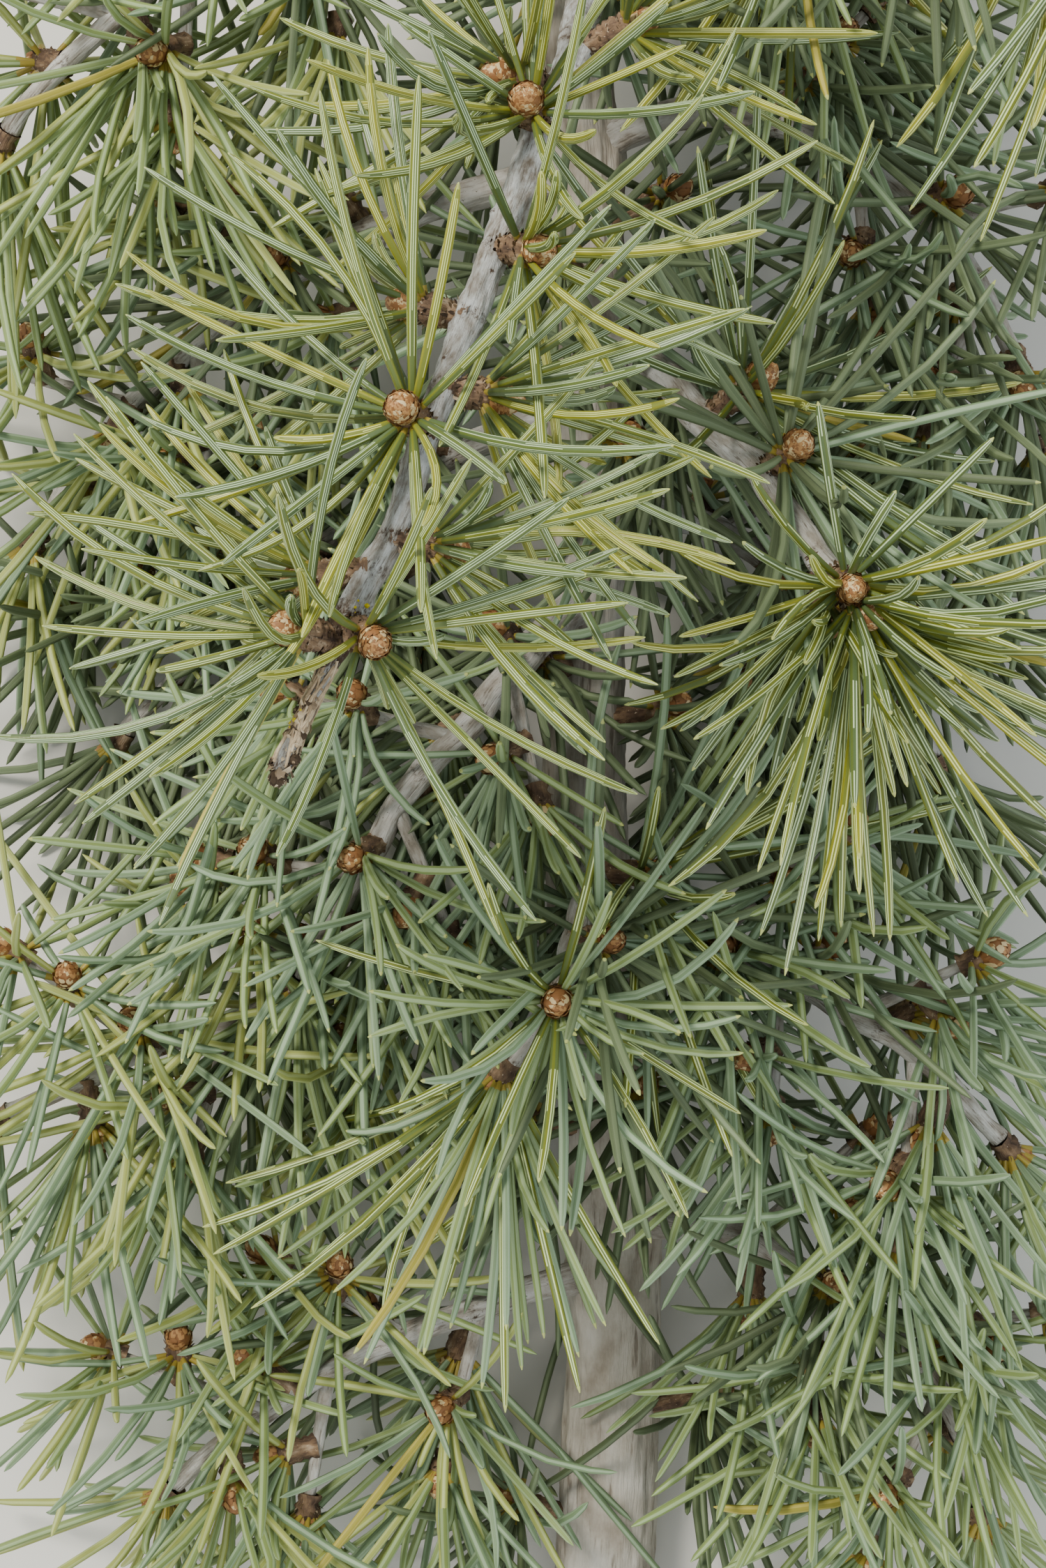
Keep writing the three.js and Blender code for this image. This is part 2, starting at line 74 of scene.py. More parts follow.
# Side twigs of the lower shoots
TWIG_SHARES, TWIG_LENGTH, TWIG_RADII, TWIG_DROOP = (0.3, 0.46, 0.62, 0.76), (17, 25), (1.1, 0.8), 0.12
TWIG_FLOOR_GAP, TWIG_CUT_GAP, TWIG_SPUR, TWIG_NEEDLES, TWIG_SHORTER = 6.0, 24.0, 4.0, 0.8, (4, 6)

# Needles. Bow, curl and lift are shares of their length.
NEEDLE_RADIUS = 0.66
NEEDLE_SHARE = 2.7  # real needles for each needle of the solids
FRONT_SHARE = 1.8  # and on the front shoot
LOW_WIDTH = 1.08  # how much wider the needles of the lower shoots are
NEEDLE_BOW = (0.02, 0.13)  # how far a needle's middle hangs below the straight line
NEEDLE_SIDE_BOW = 0.07
CURLED, CURL, SLIGHT_CURL = 0.4, 0.2, 0.25  # share that curves to a side, how far, and the rest against it
SHORT, FRONT_SHORT = 0.1, 0.2  # share of needles that stay short
SHORT_LENGTH, SHORT_BOW, SHORT_LIFT, TILT_SPREAD, TURN_SPREAD = (0.22, 0.65), 0.1, 0.2, 9, 16
NUDGES = (0, 6, -6, 12, -12, 18)  # turns in degrees, tried in order until a needle is clear
ROOT_OUT, ROOT_UP = 0.55, (0.1, 0.85)  # where needles stand on the head of the spur
HIGH_KINDS = ("right", "middle", "top_right", "leader")  # the high shoots, apart from the front one
HANG, LOW_HANG = (0, -0.3, 0), (0, -0.6, 0)  # how needles lean to the cut end on them and on low ones
TESTED = np.linspace(0.12, 1, 12)  # where along a needle its room is tested
ROD_REACH, ROD_GAP = 75.0, 0.6  # a rod further off can't be touched, and the least gap in needle radii
LYING_GAP, CUT_GAP = 1.15, 1.0  # height of a lying needle in radii, and its least distance from the cut end

# Spurs and buds
SPUR_RADIUS, HEAD_RADIUS, HEAD_LENGTH = 1.4, 1.9, 2.2
BUD_RADIUS, BUD_LENGTH, BUD_SUNK = 2.0, 4.3, 0.7
NEAR_KINDS = ("front", "right")
NEAR_SPUR, FAR_SPUR = (18, 0.22), (9, 0.5)  # sides, and mm from ring to ring
NEAR_SCALES, FAR_SCALES = (130, 48), (44, 18)  # on a bud, and in the ruff at its foot
LOW_RUFFS, LOW_RUFF_SCALES = (0.25, 0.6), 30

SHOOT_KEYS = ("at", "leave", "arrive", "tip", "radii", "tufts", "turn", "needles", "reach", "side")
SHOOTS = {name: dict(zip(SHOOT_KEYS, row)) for name, row in {
    "right": (62, (8, -2, 24), (-9, 16, -18), (41, 24, 91), (2.6, 1.6), 3, 222, 12, (34, 48), 0.47),
    "middle": (-8, (2, 4, 25), (10, 10, 5), (-1.5, -37, 65), (2.4, 1.4), 2, 222, 12, (34, 46), 0.42),
    "lower_left": (26, (-6, -4, 25), (9, 21, 15), (-31, -27, 45), (2.4, 1.3), 3, 100, 9, (28, 38), 0.4),
    "bottom_left": (-24, (-22, 2, 9), (21, 11, 2), (-73, -47, 41), (2.4, 1.3), 3, 120, 9, (30, 40), 0.32),
    "left": (85, (-24, -1, 6), (19, 31, 11), (-71, 37, 27), (2.3, 1.2), 3, 60, 9, (28, 38), 0.32),
    "top_left": (118, (-21, 10, 11), (20, 25, 10), (-70, 89, 60), (2.2, 1.2), 3, 10, 9, (30, 40), 0.3),
    "top_right": (112, (11, 14, 26), (-14, 22, -1), (68, 106, 113), (2.3, 1.2), 2, 60, 12, (32, 42), 0.47),
    "upper_right": (88, (14, 12, 9), (-11, 42, 11), (73, 50, 41), (2.3, 1.2), 3, 240, 9, (30, 40), 0.32),
    "lower_right": (-20, (15, 2, 18), (-15, 18, 11), (67, -50, 45), (2.3, 1.2), 3, 300, 9, (30, 40), 0.35),
    "bottom_right": (-66, (13, 4, 11), (-6, 32, 11), (66, -104, 33), (2.2, 1.2), 3, 30, 9, (28, 38), 0.32),
    "bottom_corner": (-74, (-17, 0, 12), (17, 19, 11), (-51, -103, 27), (2.2, 1.2), 3, 170, 9, (28, 38),
                      0.32),
    "back_left": (52, (-19, 2, -6), (18, 20, 6), (-60, 8, 15), (2.1, 1.2), 2, 90, 10, (26, 34), None),
    "back_right": (40, (19, 2, -5), (-12, 22, 4), (62, 4, 14), (2.1, 1.2), 2, 270, 10, (26, 34), None),
    "top_back": (130, (16, 10, -6), (-12, 16, 8), (58, 120, 20), (2.0, 1.2), 2, 200, 10, (26, 34), None),
}.items()}

# The stretches of shoots that show between the needles: from, to, points
SHOWN_PARTS = {"front": (0, 1, 60), "right": (0.5, 0.95, 16), "lower_left": (0.35, 0.8, 14)}
BARE_SHARE = 0.92  # from here on the front shoot is dead and stands free of all needles
SHOOT_COVER, BARE_COVER, BUD_COVER = 2.4, 3.5, 2.2  # needles nearer than this, seen from above, hide them
ROOT_POINTS, SPARED = 4, 0.05  # tested points that may lie over a shoot, and share of needles that may cross

# Spacing and lean of the tufts of an end spray, where they aren't TUFT_SPACING and TUFT_LEAN, the length of
# their needles against those of the last tuft, and the sweep of the last one
SPREAD = {"right": (4.0, 1.6, 0.65, (0.15, -0.6, 0)), "middle": (11.0, TUFT_LEAN, 0.72, (0.1, -0.75, 0))}

# The front shoot: its curve, and its radius and how dark it is by the distance from its dead tip
FRONT_AT, FRONT_CURVE = 100, ((6, 26, 30), (30, 62, 10), (-28, 1, 125))
FRONT_RADII = ((0, 0.7), (0.8, 1.1), (2.6, 1.2), (3.8, 1.0), (7, 0.9), (11, 0.85), (13.5, 1.0), (16, 1.6),
               (19, 1.95), (23, 1.75), (30, 1.6), (45, 1.65), (70, 1.85), (100, 2.1), (157, 2.7))
FRONT_DARK = ((0, 0.5), (5, 0.25), (12, 0.3), (15, 0.62), (19, 0.58), (22, 0.36), (25, 0.12), (30, 0.0))
# Where single leaves once stood on it: how many, the first, their pitch, reach, rise and dark
SCARS, SCAR_START, SCAR_PITCH, SCAR_REACH, SCAR_RISE, SCAR_DARK = 26, 22, 4.3, (0.55, 0.3), 0.38, 0.6
# Its tufts: distance from the tip, aim, spur, open, reach, needles, sweep
FRONT_TUFTS = (
    (17, (-0.7, 0.14, 0.68), 4.6, (40, 92), (28, 37), 14, (-0.4, -0.15, 0)),
    (19, (0.5, -0.33, 0.8), 3.6, (48, 94), (28, 37), 14, (0.42, -0.42, 0)),
    (26, (-0.88, -0.1, -0.3), 5.5, (15, 70), (26, 34), 11, (-0.1, 0.35, 0)),
    (30, (0.93, -0.15, -0.1), 3.6, (15, 78), (28, 36), 12, (0.2, -0.1, 0)),
    (43.5, (-0.36, 0.26, 0.88), 4.0, (48, 94), (28, 37), 16, (-0.22, 0.05, 0)),
    (49, (0.92, -0.1, -0.1), 3.6, (15, 75), (28, 36), 13, (0.2, -0.05, 0)),
    (59, (-0.9, 0.25, -0.25), 5.0, (15, 75), (28, 36), 11, (0, 0.25, 0)),
    (69, (0.65, -0.12, 0.72), 4.5, (20, 84), (28, 36), 13, (0.15, 0, 0)),
    (88, (-0.2, 0.3, 0.9), 3.6, (30, 80), (28, 36), 12, (0, 0.1, 0)),
    (96, (-0.75, 0.1, 0.45), 5.0, (20, 80), (28, 36), 10, (-0.2, 0, 0)),
    (106, (0.8, 0.3, 0.3), 6.5, (20, 80), (28, 36), 10, (0.2, 0, 0)),
)
STEM_TUFTS = ((-114, 285, 11), (-96, 70, 11), (-46, 20, 11), (70, 340, 10))
STEM_FILL = ((-128, 60), (-122, 190), (-60, 150), (-52, 300), (-30, 240), (8, 60), (16, 330), (46, 20),
             (60, 160), (78, 60), (96, 250), (106, 20), (122, 130), (128, 320))
LEADER = {"length": 36, "lift": 8, "shift": -4, "radii": (4.1, 1.6), "tufts": 4, "turn": 40,
          "needles": 9, "reach": (28, 38)}


# Numbers, curves and frames

def chance(seed, k):
    """Repeatable numbers from 0 to 1."""
    s = np.sin(seed * 127.1 + np.asarray(k, float) * 311.7) * 43758.5453
    return s - np.floor(s)


def unit(v):
    v = np.asarray(v, float)
    return v / np.linalg.norm(v, axis=-1, keepdims=True)


def mix(a, b, t):
    return a + (b - a) * t


def around(sides):
    return 2 * np.pi * np.arange(sides) / sides


def turned(radius, angle, height):
    """Points round an upright axis."""
    return np.stack([radius * np.cos(angle), radius * np.sin(angle), height + 0 * angle], -1)


def arc(t, a, b, c):
    """A curve that leaves a towards b, and reaches c from there."""
    return (1 - t) ** 2 * a + 2 * (1 - t) * t * b + t ** 2 * c


class Path:
    """A centre line, read by the share of its length."""

    def __init__(self, points):
        self.points = np.asarray(points, float)
        steps = np.linalg.norm(np.diff(self.points, axis=0), axis=1)
        self.marks = np.concatenate([[0], np.cumsum(steps)])
        self.length = self.marks[-1]

    def at(self, share):
        d = np.clip(np.asarray(share, float), 0, 1) * self.length
        return np.stack([np.interp(d, self.marks, self.points[:, k]) for k in range(3)], axis=-1)

    def way(self, share):
        step = 0.6 / self.length
        return unit(self.at(share + step) - self.at(share - step))


def bezier(foot, leave, arrive, tip):
    p = [np.array(q, float) for q in (foot, np.add(foot, leave), np.add(tip, arrive), tip)]
    t = np.linspace(0, 1, 240)[:, None]
    early = 1 - t
    return Path(early ** 3 * p[0] + 3 * early ** 2 * t * p[1] + 3 * early * t ** 2 * p[2] + t ** 3 * p[3])


def stem_point(y):
    t = (np.asarray(y, float) - STEM_CUT_Y) / (STEM_TIP_Y - STEM_CUT_Y)
    ease = (1 - np.cos(np.pi * t)) / 2
    x = STEM_CUT_X + STEM_LEAN_X * ease + STEM_SWAY * (1 - np.cos(4 * np.pi * t))
    return np.stack([x, np.asarray(y, float), STEM_CUT_RADIUS + STEM_RISE * ease], axis=-1)


def stem_radius(y):
    return mix(STEM_CUT_RADIUS, STEM_TIP_RADIUS, (y - STEM_CUT_Y) / (STEM_TIP_Y - STEM_CUT_Y))


def wander(path, size, seed):
    """Lets a centre line stray a little from side to side, as a grown shoot does, but not at its ends."""
    s = path.marks / path.length
    hold = np.sin(np.pi * np.clip(s, 0, 1)) ** 0.5
    moved = path.points.copy()
    for k in range(3):
        for j, turns in enumerate((2.3, 4.1, 7.0)):
            moved[:, k] += size / (1 + j) * hold * np.sin(2 * np.pi * (turns * s + chance(seed, 10 * k + j)))
    return Path(moved)


def way_out(path, share, turn, lean):
    """The way out of a shoot, turned round it from straight up."""
    along = path.way(share)
    up = unit(UP - along * along[2])
    left = np.cross(along, up)
    a = math.radians(turn)
    return unit(up * math.cos(a) + left * math.sin(a) + along * lean)


def frames(points):
    """Two directions square to each step of a line, which turn as little as they can."""
    ways = unit(np.gradient(points, axis=0))
    first = np.cross(ways[0], UP if abs(ways[0][2]) < 0.9 else ALONG)
    sides = [unit(first)]
    for w in ways[1:]:
        sides.append(unit(sides[-1] - w * np.dot(sides[-1], w)))
    sides = np.array(sides)
    return sides, np.cross(ways, sides)


def add_object(name, data):
    item = bpy.data.objects.new(name, data)
    bpy.context.scene.collection.objects.link(item)
    return item


class Mesh:
    """Vertices and faces that are gathered for one object."""

    def __init__(self):
        self.points, self.faces, self.slots, self.grain, self.count = [], [], [], [], 0

    def add(self, points, faces, slots=0, grain=None):
        """faces index points and have three or four corners. slots is one number, or one for each face.
        grain is where each point lies on the limb laid straight, and how dark it is there."""
        faces = np.asarray(faces)
        if grain is not None:
            self.grain.append(grain.reshape(-1, 4))
        self.points.append(np.asarray(points, float).reshape(-1, 3))
        self.faces.append(faces + self.count)
        self.slots.append(np.broadcast_to(np.asarray(slots), (len(faces),)))
        self.count += len(self.points[-1])

    def make(self, name, materials):
        points = (np.concatenate(self.points) + SHIFT) / 1000
        corners = np.concatenate([f.reshape(-1) for f in self.faces])
        sizes = np.concatenate([np.full(len(f), f.shape[1]) for f in self.faces])
        mesh = bpy.data.meshes.new(name)
        mesh.vertices.add(len(points))
        mesh.vertices.foreach_set("co", points.astype(np.float32).reshape(-1))
        mesh.loops.add(len(corners))
        mesh.loops.foreach_set("vertex_index", corners.astype(np.int32))
        mesh.polygons.add(len(sizes))
        mesh.polygons.foreach_set("loop_start", (np.cumsum(sizes) - sizes).astype(np.int32))
        mesh.polygons.foreach_set("material_index", np.concatenate(self.slots).astype(np.int32))
        mesh.polygons.foreach_set("use_smooth", np.full(len(sizes), True))
        mesh.update(calc_edges=True)
        if self.grain:
            grain = np.concatenate(self.grain).astype(np.float32)
            place = mesh.attributes.new("grain", "FLOAT_VECTOR", "POINT")
            place.data.foreach_set("vector", grain[:, :3].reshape(-1))
            mesh.attributes.new("dark", "FLOAT", "POINT").data.foreach_set("value", grain[:, 3].copy())
        for m in materials:
            mesh.materials.append(m)
        piece = add_object(name, mesh)
        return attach(piece, "root")


def skin(rings, sides):
    """The faces between rings of points."""
    i, j = np.meshgrid(np.arange(rings - 1), np.arange(sides), indexing="ij")
    n = (j + 1) % sides
    quads = np.stack([i * sides + j, i * sides + n, (i + 1) * sides + n, (i + 1) * sides + j], -1)
    return quads.reshape(-1, 4)


def tube(mesh, points, radius, sides, relief=None, dark=0.0, seed=0.0):
    """A round limb along points, with a relief added to its radius at each ring and side. dark is how dark
    the bark is there, for the whole limb or for each ring and side."""
    side, over = frames(points)
    a = around(sides)
    r = np.asarray(radius, float)[:, None] + (0 if relief is None else relief)
    r = r[..., None] * np.ones((1, sides, 1))
    out = np.cos(a)[None, :, None] * side[:, None] + np.sin(a)[None, :, None] * over[:, None]
    shell = points[:, None] + out * r
    along = np.concatenate([[0], np.cumsum(np.linalg.norm(np.diff(points, axis=0), axis=1))])
    mean = float(np.mean(radius))
    grain = np.zeros((len(points), sides, 4))
    grain[..., 0], grain[..., 1] = mean * np.cos(a) + seed, mean * np.sin(a)
    grain[..., 2], grain[..., 3] = along[:, None], dark
    mesh.add(shell, skin(len(points), sides), 0, grain)
    end = np.concatenate([shell[-1], points[-1:] + (points[-1] - points[-2]) * 0.3])
    j = np.arange(sides)
    fan = np.stack([j, (j + 1) % sides, np.full(sides, sides)], -1)
    mesh.add(end, fan, 0, np.vstack([grain[-1], grain[-1, :1]]))


def ripple(along, sides, seed, turns, pitch, count=14):
    """A relief of smooth waves, from -1 to 1 or so. turns is how many go round the limb, and pitch the mm
    from one to the next along it, from the least to the most."""
    a = around(sides)
    total = 0
    for j in range(count):
        n = np.round(mix(turns[0], turns[1], chance(seed, j)))
        w = 2 * np.pi / mix(pitch[0], pitch[1], chance(seed, j + 50))
        phase = 2 * np.pi * chance(seed, j + 100)
        total = total + np.cos(n * a[None] + w * along[:, None] * (1 if j % 2 else -1) + phase)
    return total / math.sqrt(count)


def swelling(gap, face, sides, rise, length, width):
    """A round relief: gap is how far each ring lies from it along the limb, and face on which side it is."""
    off = np.abs(np.angle(np.exp(1j * (around(sides) - np.reshape(face, (-1, 1))))))
    return rise * np.exp(-(gap / length)[:, None] ** 2 - (off / width) ** 2)


# The plan: rods that needles keep clear of, and tufts

RODS, tufts = [], []


def add_rods(points, radii):
    for a, b, r in zip(points[:-1], points[1:], radii):
        RODS.append((*a, *b, r))


def add_tuft(foot, aim, spur, open_, reach, needles, seed, kind, sweep=None, shown=False, inner=False):
    """A tuft and the rod of its spur. shown is for a bud that shows in the photo, inner for a shaded tuft."""
    if sweep is None:
        sweep = HANG if kind in HIGH_KINDS else LOW_HANG
    aim = unit(aim)
    foot = np.array(foot, float)
    head = foot + aim * spur
    add_rods([foot, head + aim * HEAD_LENGTH], [HEAD_RADIUS])
    tufts.append(dict(foot=foot, aim=aim, spur=spur, head=head, open=open_, reach=reach, needles=needles,
                      seed=seed, kind=kind, sweep=np.array(sweep), shown=shown, inner=inner))


def collar(radii, path, shares):
    """The radius of a shoot, which swells at its foot."""
    swell = 1 + COLLAR_SWELL * np.exp(-shares * path.length / COLLAR_LENGTH)
    return mix(radii[0], radii[1], shares) * swell


def is_clear(points, skip):
    """Which of these needles, each a row of points, stay clear of every limb and spur but their own spur."""
    rods = np.array([r for k, r in enumerate(RODS) if k != skip])
    a, b, r = rods[:, 0:3], rods[:, 3:6], rods[:, 6]
    near = np.linalg.norm((a + b) / 2 - points.reshape(-1, 3).mean(0), axis=1) < ROD_REACH
    a, b, r = a[near], b[near], r[near]
    d = b - a
    p = points[:, :, None] - a
    t = np.clip((p * d).sum(-1) / (d * d).sum(-1), 0, 1)
    gap = np.linalg.norm(p - t[..., None] * d, axis=-1) - r
    return (gap > NEEDLE_RADIUS * ROD_GAP).all(axis=(1, 2))


def hides_shown(points, own, spared):
    """Which of these needles cross over a shoot or bud that shows in the photo, as seen from above. Their
    first points may cross a shoot, and spared ones may cross all but the dead tip."""
    line = np.concatenate([PATHS[name].at(np.linspace(*part)) for name, part in SHOWN_PARTS.items()])
    gap = np.linalg.norm(points[:, :, None, :2] - line[None, None, :, :2], axis=-1)
    near = gap.argmin(-1)
    higher = points[..., 2] > line[near][..., 2]
    over = (gap.min(-1) < SHOOT_COVER) & higher
    count = SHOWN_PARTS["front"][2]
    bare = (gap.min(-1) < BARE_COVER) & higher & (near >= BARE_SHARE * count) & (near < count)
    buds = np.array([t["head"] + t["aim"] * (HEAD_LENGTH + BUD_LENGTH / 2) for t in tufts
                     if t["shown"] and t is not own])
    gap = np.linalg.norm(points[:, :, None, :2] - buds[None, None, :, :2], axis=-1)
    cover = (gap < BUD_COVER) & (points[:, :, None, 2] > buds[None, None, :, 2])
    return bare.any(1) | ((over[:, ROOT_POINTS:].any(1) | cover[:, 1:].any((1, 2))) & ~spared)


def needle_ways(tuft, k, count, nudge):
    """The way each needle of a tuft points, from its root. nudge turns them all by some degrees."""
    aim, seed = tuft["aim"], tuft["seed"]
    share = (k + 0.5) / count
    up = ALONG - aim * aim[1]
    if np.linalg.norm(up) < 0.05:
        up = UP - aim * aim[2]
    up = unit(up)
    low, high = (math.cos(math.radians(a)) for a in tuft["open"])
    tilt = np.arccos(mix(low, high, share)) + np.radians(TILT_SPREAD) * (chance(seed, k + 200) - 0.5)
    tilt = (tilt - math.radians(abs(nudge)) / 3)[:, None]
    turn = 2 * np.pi * (k * GOLDEN_SHARE + chance(seed, 99))
    turn = turn + np.radians(nudge + TURN_SPREAD * (chance(seed, k + 300) - 0.5))
    out = up * np.cos(turn)[:, None] + np.cross(aim, up) * np.sin(turn)[:, None]
    way = unit(aim * np.cos(tilt) + out * np.sin(tilt) + tuft["sweep"])
    rise = (way @ aim)[:, None]
    tilt = np.maximum(np.arccos(np.clip(rise, -1, 1)), math.radians(tuft["open"][0]))
    return aim * np.cos(tilt) + unit(way - aim * rise) * np.sin(tilt)


def needle_lines(tuft, count, rod):
    """Root, elbow and tip of each needle of a tuft."""
    aim, seed = tuft["aim"], tuft["seed"]
    k = np.arange(count)
    length = mix(*tuft["reach"], chance(seed, k))
    short = chance(seed, k + 560) < (FRONT_SHORT if tuft["kind"] == "front" else SHORT)
    length = np.where(short, length * mix(*SHORT_LENGTH, chance(seed, k + 580)), length)[:, None]
    bow = np.where(short, SHORT_BOW, mix(*NEEDLE_BOW, chance(seed, k + 40)))[:, None]
    curl = np.where(chance(seed, k + 520) < CURLED, 1.0, SLIGHT_CURL)[:, None]
    curl = curl * (2 * CURL * chance(seed, k + 540) - CURL)[:, None]
    lift = np.where(short, SHORT_LIFT, 0.0)[:, None]
    waiting = np.ones(count, bool)
    lines = np.zeros((count, 3, 3))
    for nudge in NUDGES:
        way = needle_ways(tuft, k, count, nudge)
        rise = (way @ aim)[:, None]
        out = unit(way - aim * rise)
        up = mix(*ROOT_UP, np.clip(rise, 0, 1))
        root = tuft["head"] + out * HEAD_RADIUS * ROOT_OUT + aim * up * HEAD_LENGTH
        side = unit(np.cross(way, aim))
        elbow = root + way * length / 2 - (ALONG - way * way[:, 1:2]) * length * bow + side * length * curl
        elbow = elbow + lift * aim * length
        stray = (NEEDLE_SIDE_BOW * (2 * chance(seed, k + 70) - 1))[:, None]
        tip = root + way * length + side * length * stray
        for point in (elbow, tip):
            point[:, 2] = np.maximum(point[:, 2], NEEDLE_RADIUS * LYING_GAP)
        points = arc(TESTED[None, :, None], root[:, None], elbow[:, None], tip[:, None])
        good = waiting & is_clear(points, rod) & (points[..., 1].min(1) > STEM_CUT_Y + CUT_GAP)
        good &= ~hides_shown(points, tuft, chance(seed, k + 620) < SPARED)
        lines[good] = np.stack([root, elbow, tip], 1)[good]
        waiting &= ~good
    return lines[~waiting]


# Materials

def srgb(code):
    c = np.array([int(code[k:k + 2], 16) / 255 for k in (0, 2, 4)])
    return (*np.where(c <= 0.04045, c / 12.92, ((c + 0.055) / 1.055) ** 2.4), 1.0)


def add_node(m, kind, **inputs):
    """A new node of a material. Each input is a value, or the output of another node."""
    node = m.node_tree.nodes.new(kind)
    for name, value in inputs.items():
        if isinstance(value, bpy.types.NodeSocket):
            m.node_tree.links.new(value, node.inputs[name])
        else:
            node.inputs[name].default_value = value
    return node


def emboss(m, height, strength, distance):
    relief = add_node(m, "ShaderNodeBump", Height=height, Strength=strength, Distance=distance)
    m.node_tree.links.new(relief.outputs["Normal"], m.node_tree.nodes["Principled BSDF"].inputs["Normal"])


def material(name, code, roughness, specular, bump=None):
    """A plain colour with fine procedural relief: bump is (scale, detail, strength, distance)."""
    m = bpy.data.materials.new(name)
    m.use_nodes = True
    shader = m.node_tree.nodes["Principled BSDF"]
    shader.inputs["Base Color"].default_value = srgb(code)
    shader.inputs["Roughness"].default_value = roughness
    shader.inputs["Specular IOR Level"].default_value = specular
    if bump:
        where = add_node(m, "ShaderNodeTexCoord").outputs["Object"]
        noise = add_node(m, "ShaderNodeTexNoise", Vector=where, Scale=bump[0], Detail=bump[1])
        emboss(m, noise.outputs["Fac"], *bump[2:])
    return m


def bark(name, tones, spur, size, wrinkle, relief, specks=None):
    """Bark whose wrinkles run along the limb. tones are the colours of its broad patches, spur the colour
    round the spurs, size the width of a wrinkle in mm, wrinkle its colour, relief its depth in m, and specks
    the colour of fine spots."""
    m = material(name, tones[0], 0.82, 0.3)
    links = m.node_tree.links
    grain, dark = add_node(m, "ShaderNodeAttribute"), add_node(m, "ShaderNodeAttribute")
    grain.attribute_name, dark.attribute_name = "grain", "dark"

    def noise(scale, stretch, detail, rough=0.55):
        scale = (scale, scale, scale / stretch)
        place = add_node(m, "ShaderNodeMapping", Vector=grain.outputs["Vector"], Scale=scale)
        n = add_node(m, "ShaderNodeTexNoise", Vector=place.outputs["Vector"], Scale=1.0, Detail=detail,
                     Roughness=rough)
        return n.outputs["Fac"]

    def ramp(fac, *stops):
        r = add_node(m, "ShaderNodeValToRGB", Fac=fac)
        r.color_ramp.elements.remove(r.color_ramp.elements[1])
        for k, (where, code) in enumerate(stops):
            e = r.color_ramp.elements[0] if k == 0 else r.color_ramp.elements.new(where)
            e.position, e.color = where, srgb(code)
        return r.outputs["Color"]

    def over(colour, top, fac):
        x = add_node(m, "ShaderNodeMix")
        x.data_type = "RGBA"
        links.new(fac, x.inputs["Factor"])
        links.new(colour, x.inputs["A"])
        x.inputs["B"].default_value = srgb(top)
        return x.outputs["Result"]

    fine = noise(1.6 / size, 11, 6, 0.6)
    colour = ramp(noise(0.3 / size, 2.2, 5, 0.6), *((0.3 + 0.13 * k, code) for k, code in enumerate(tones)))
    line = ramp(fine, (0.34, "e0e0e0"), (0.42, "606060"), (0.46, "000000"), (0.49, "505050"),
                (0.52, "000000"))
    colour = over(colour, wrinkle, line)
    if specks:
        colour = over(colour, specks, ramp(noise(2.2 / size, 1.3, 2), (0.68, "000000"), (0.72, "ffffff")))
    patch = add_node(m, "ShaderNodeMath")
    patch.operation = "MULTIPLY_ADD"
    links.new(noise(1.1 / size, 1.5, 5, 0.65), patch.inputs[0])
    patch.inputs[1].default_value = 0.9
    links.new(dark.outputs["Fac"], patch.inputs[2])
    colour = over(colour, spur, ramp(patch.outputs["Value"], (0.82, "000000"), (1.0, "ffffff")))
    links.new(colour, m.node_tree.nodes["Principled BSDF"].inputs["Base Color"])
    emboss(m, fine, 0.8, relief)
    return m


# The origin of the row against the middle of the photo comes from the cut end, which both know.
CUT = np.array(next(m for m in frame["record"]["mounts"] if m["name"] == "cut_end")["pos_m"]) * 1000
SHIFT = CUT - np.array([STEM_CUT_X, STEM_CUT_Y, STEM_CUT_RADIUS])

# Stem and shoots

STEM_BARK = bark("stem_bark", ("83796a", "a1988a", "b9b2a5", "cbc5ba"), "5b4b3c", 1.5, "685b4c", 0.0006)
SHOOT_BARK = bark("shoot_bark", ("7f766a", "a0998e", "bab6ae", "cdcbc6"), "4f3e2f", 0.6, "5f5143", 0.0004,
                  "6d6154")
FRONT_BARK = bark("front_bark", ("6f6457", "97928a", "b3b4b1", "c9cbcb"), "4a392b", 0.36, "5c5044", 0.0006,
                  "5d5145")

stem_y = np.linspace(STEM_CUT_Y, STEM_TIP_Y, 400)
stem_line = stem_point(stem_y)
stem_mesh = Mesh()
stem_relief = 0.16 * ripple(stem_y, STEM_SIDES, 3.0, (5, 16), (14, 60))
stem_relief = stem_relief + 0.1 * ripple(stem_y, STEM_SIDES, 5.0, (12, 30), (4, 16))
stem_relief = stem_relief - 0.25 * np.clip(ripple(stem_y, STEM_SIDES, 8.0, (6, 13), (9, 30)) - 0.9, 0, 1)
stem_relief[:6] *= np.linspace(0, 1, 6)[:, None]

PATHS = {}
for k, (name, s) in enumerate(SHOOTS.items()):
    PATHS[name] = wander(bezier(stem_point(s["at"]), s["leave"], s["arrive"], s["tip"]), WANDER, 20.0 + k)
PATHS["front"] = wander(bezier(stem_point(FRONT_AT), *FRONT_CURVE), FRONT_WANDER, 7.0)
stem_sides, stem_overs = frames(stem_line)
for path in PATHS.values():
    foot, out = path.at(0.0), path.way(0.03)
    face = np.arctan2(stem_overs @ out, stem_sides @ out)
    stem_relief = stem_relief + swelling(stem_y - foot[1], face, STEM_SIDES, *FOOT_SWELL)
tube(stem_mesh, stem_line, stem_radius(stem_y), STEM_SIDES, stem_relief)
stem = stem_mesh.make("main_stem_bark", [STEM_BARK])
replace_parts(stem, "main_stem")
rod_y = np.linspace(STEM_CUT_Y, STEM_TIP_Y, 24)
add_rods(stem_point(rod_y), stem_radius(rod_y))
foot = stem_point(STEM_TIP_Y)
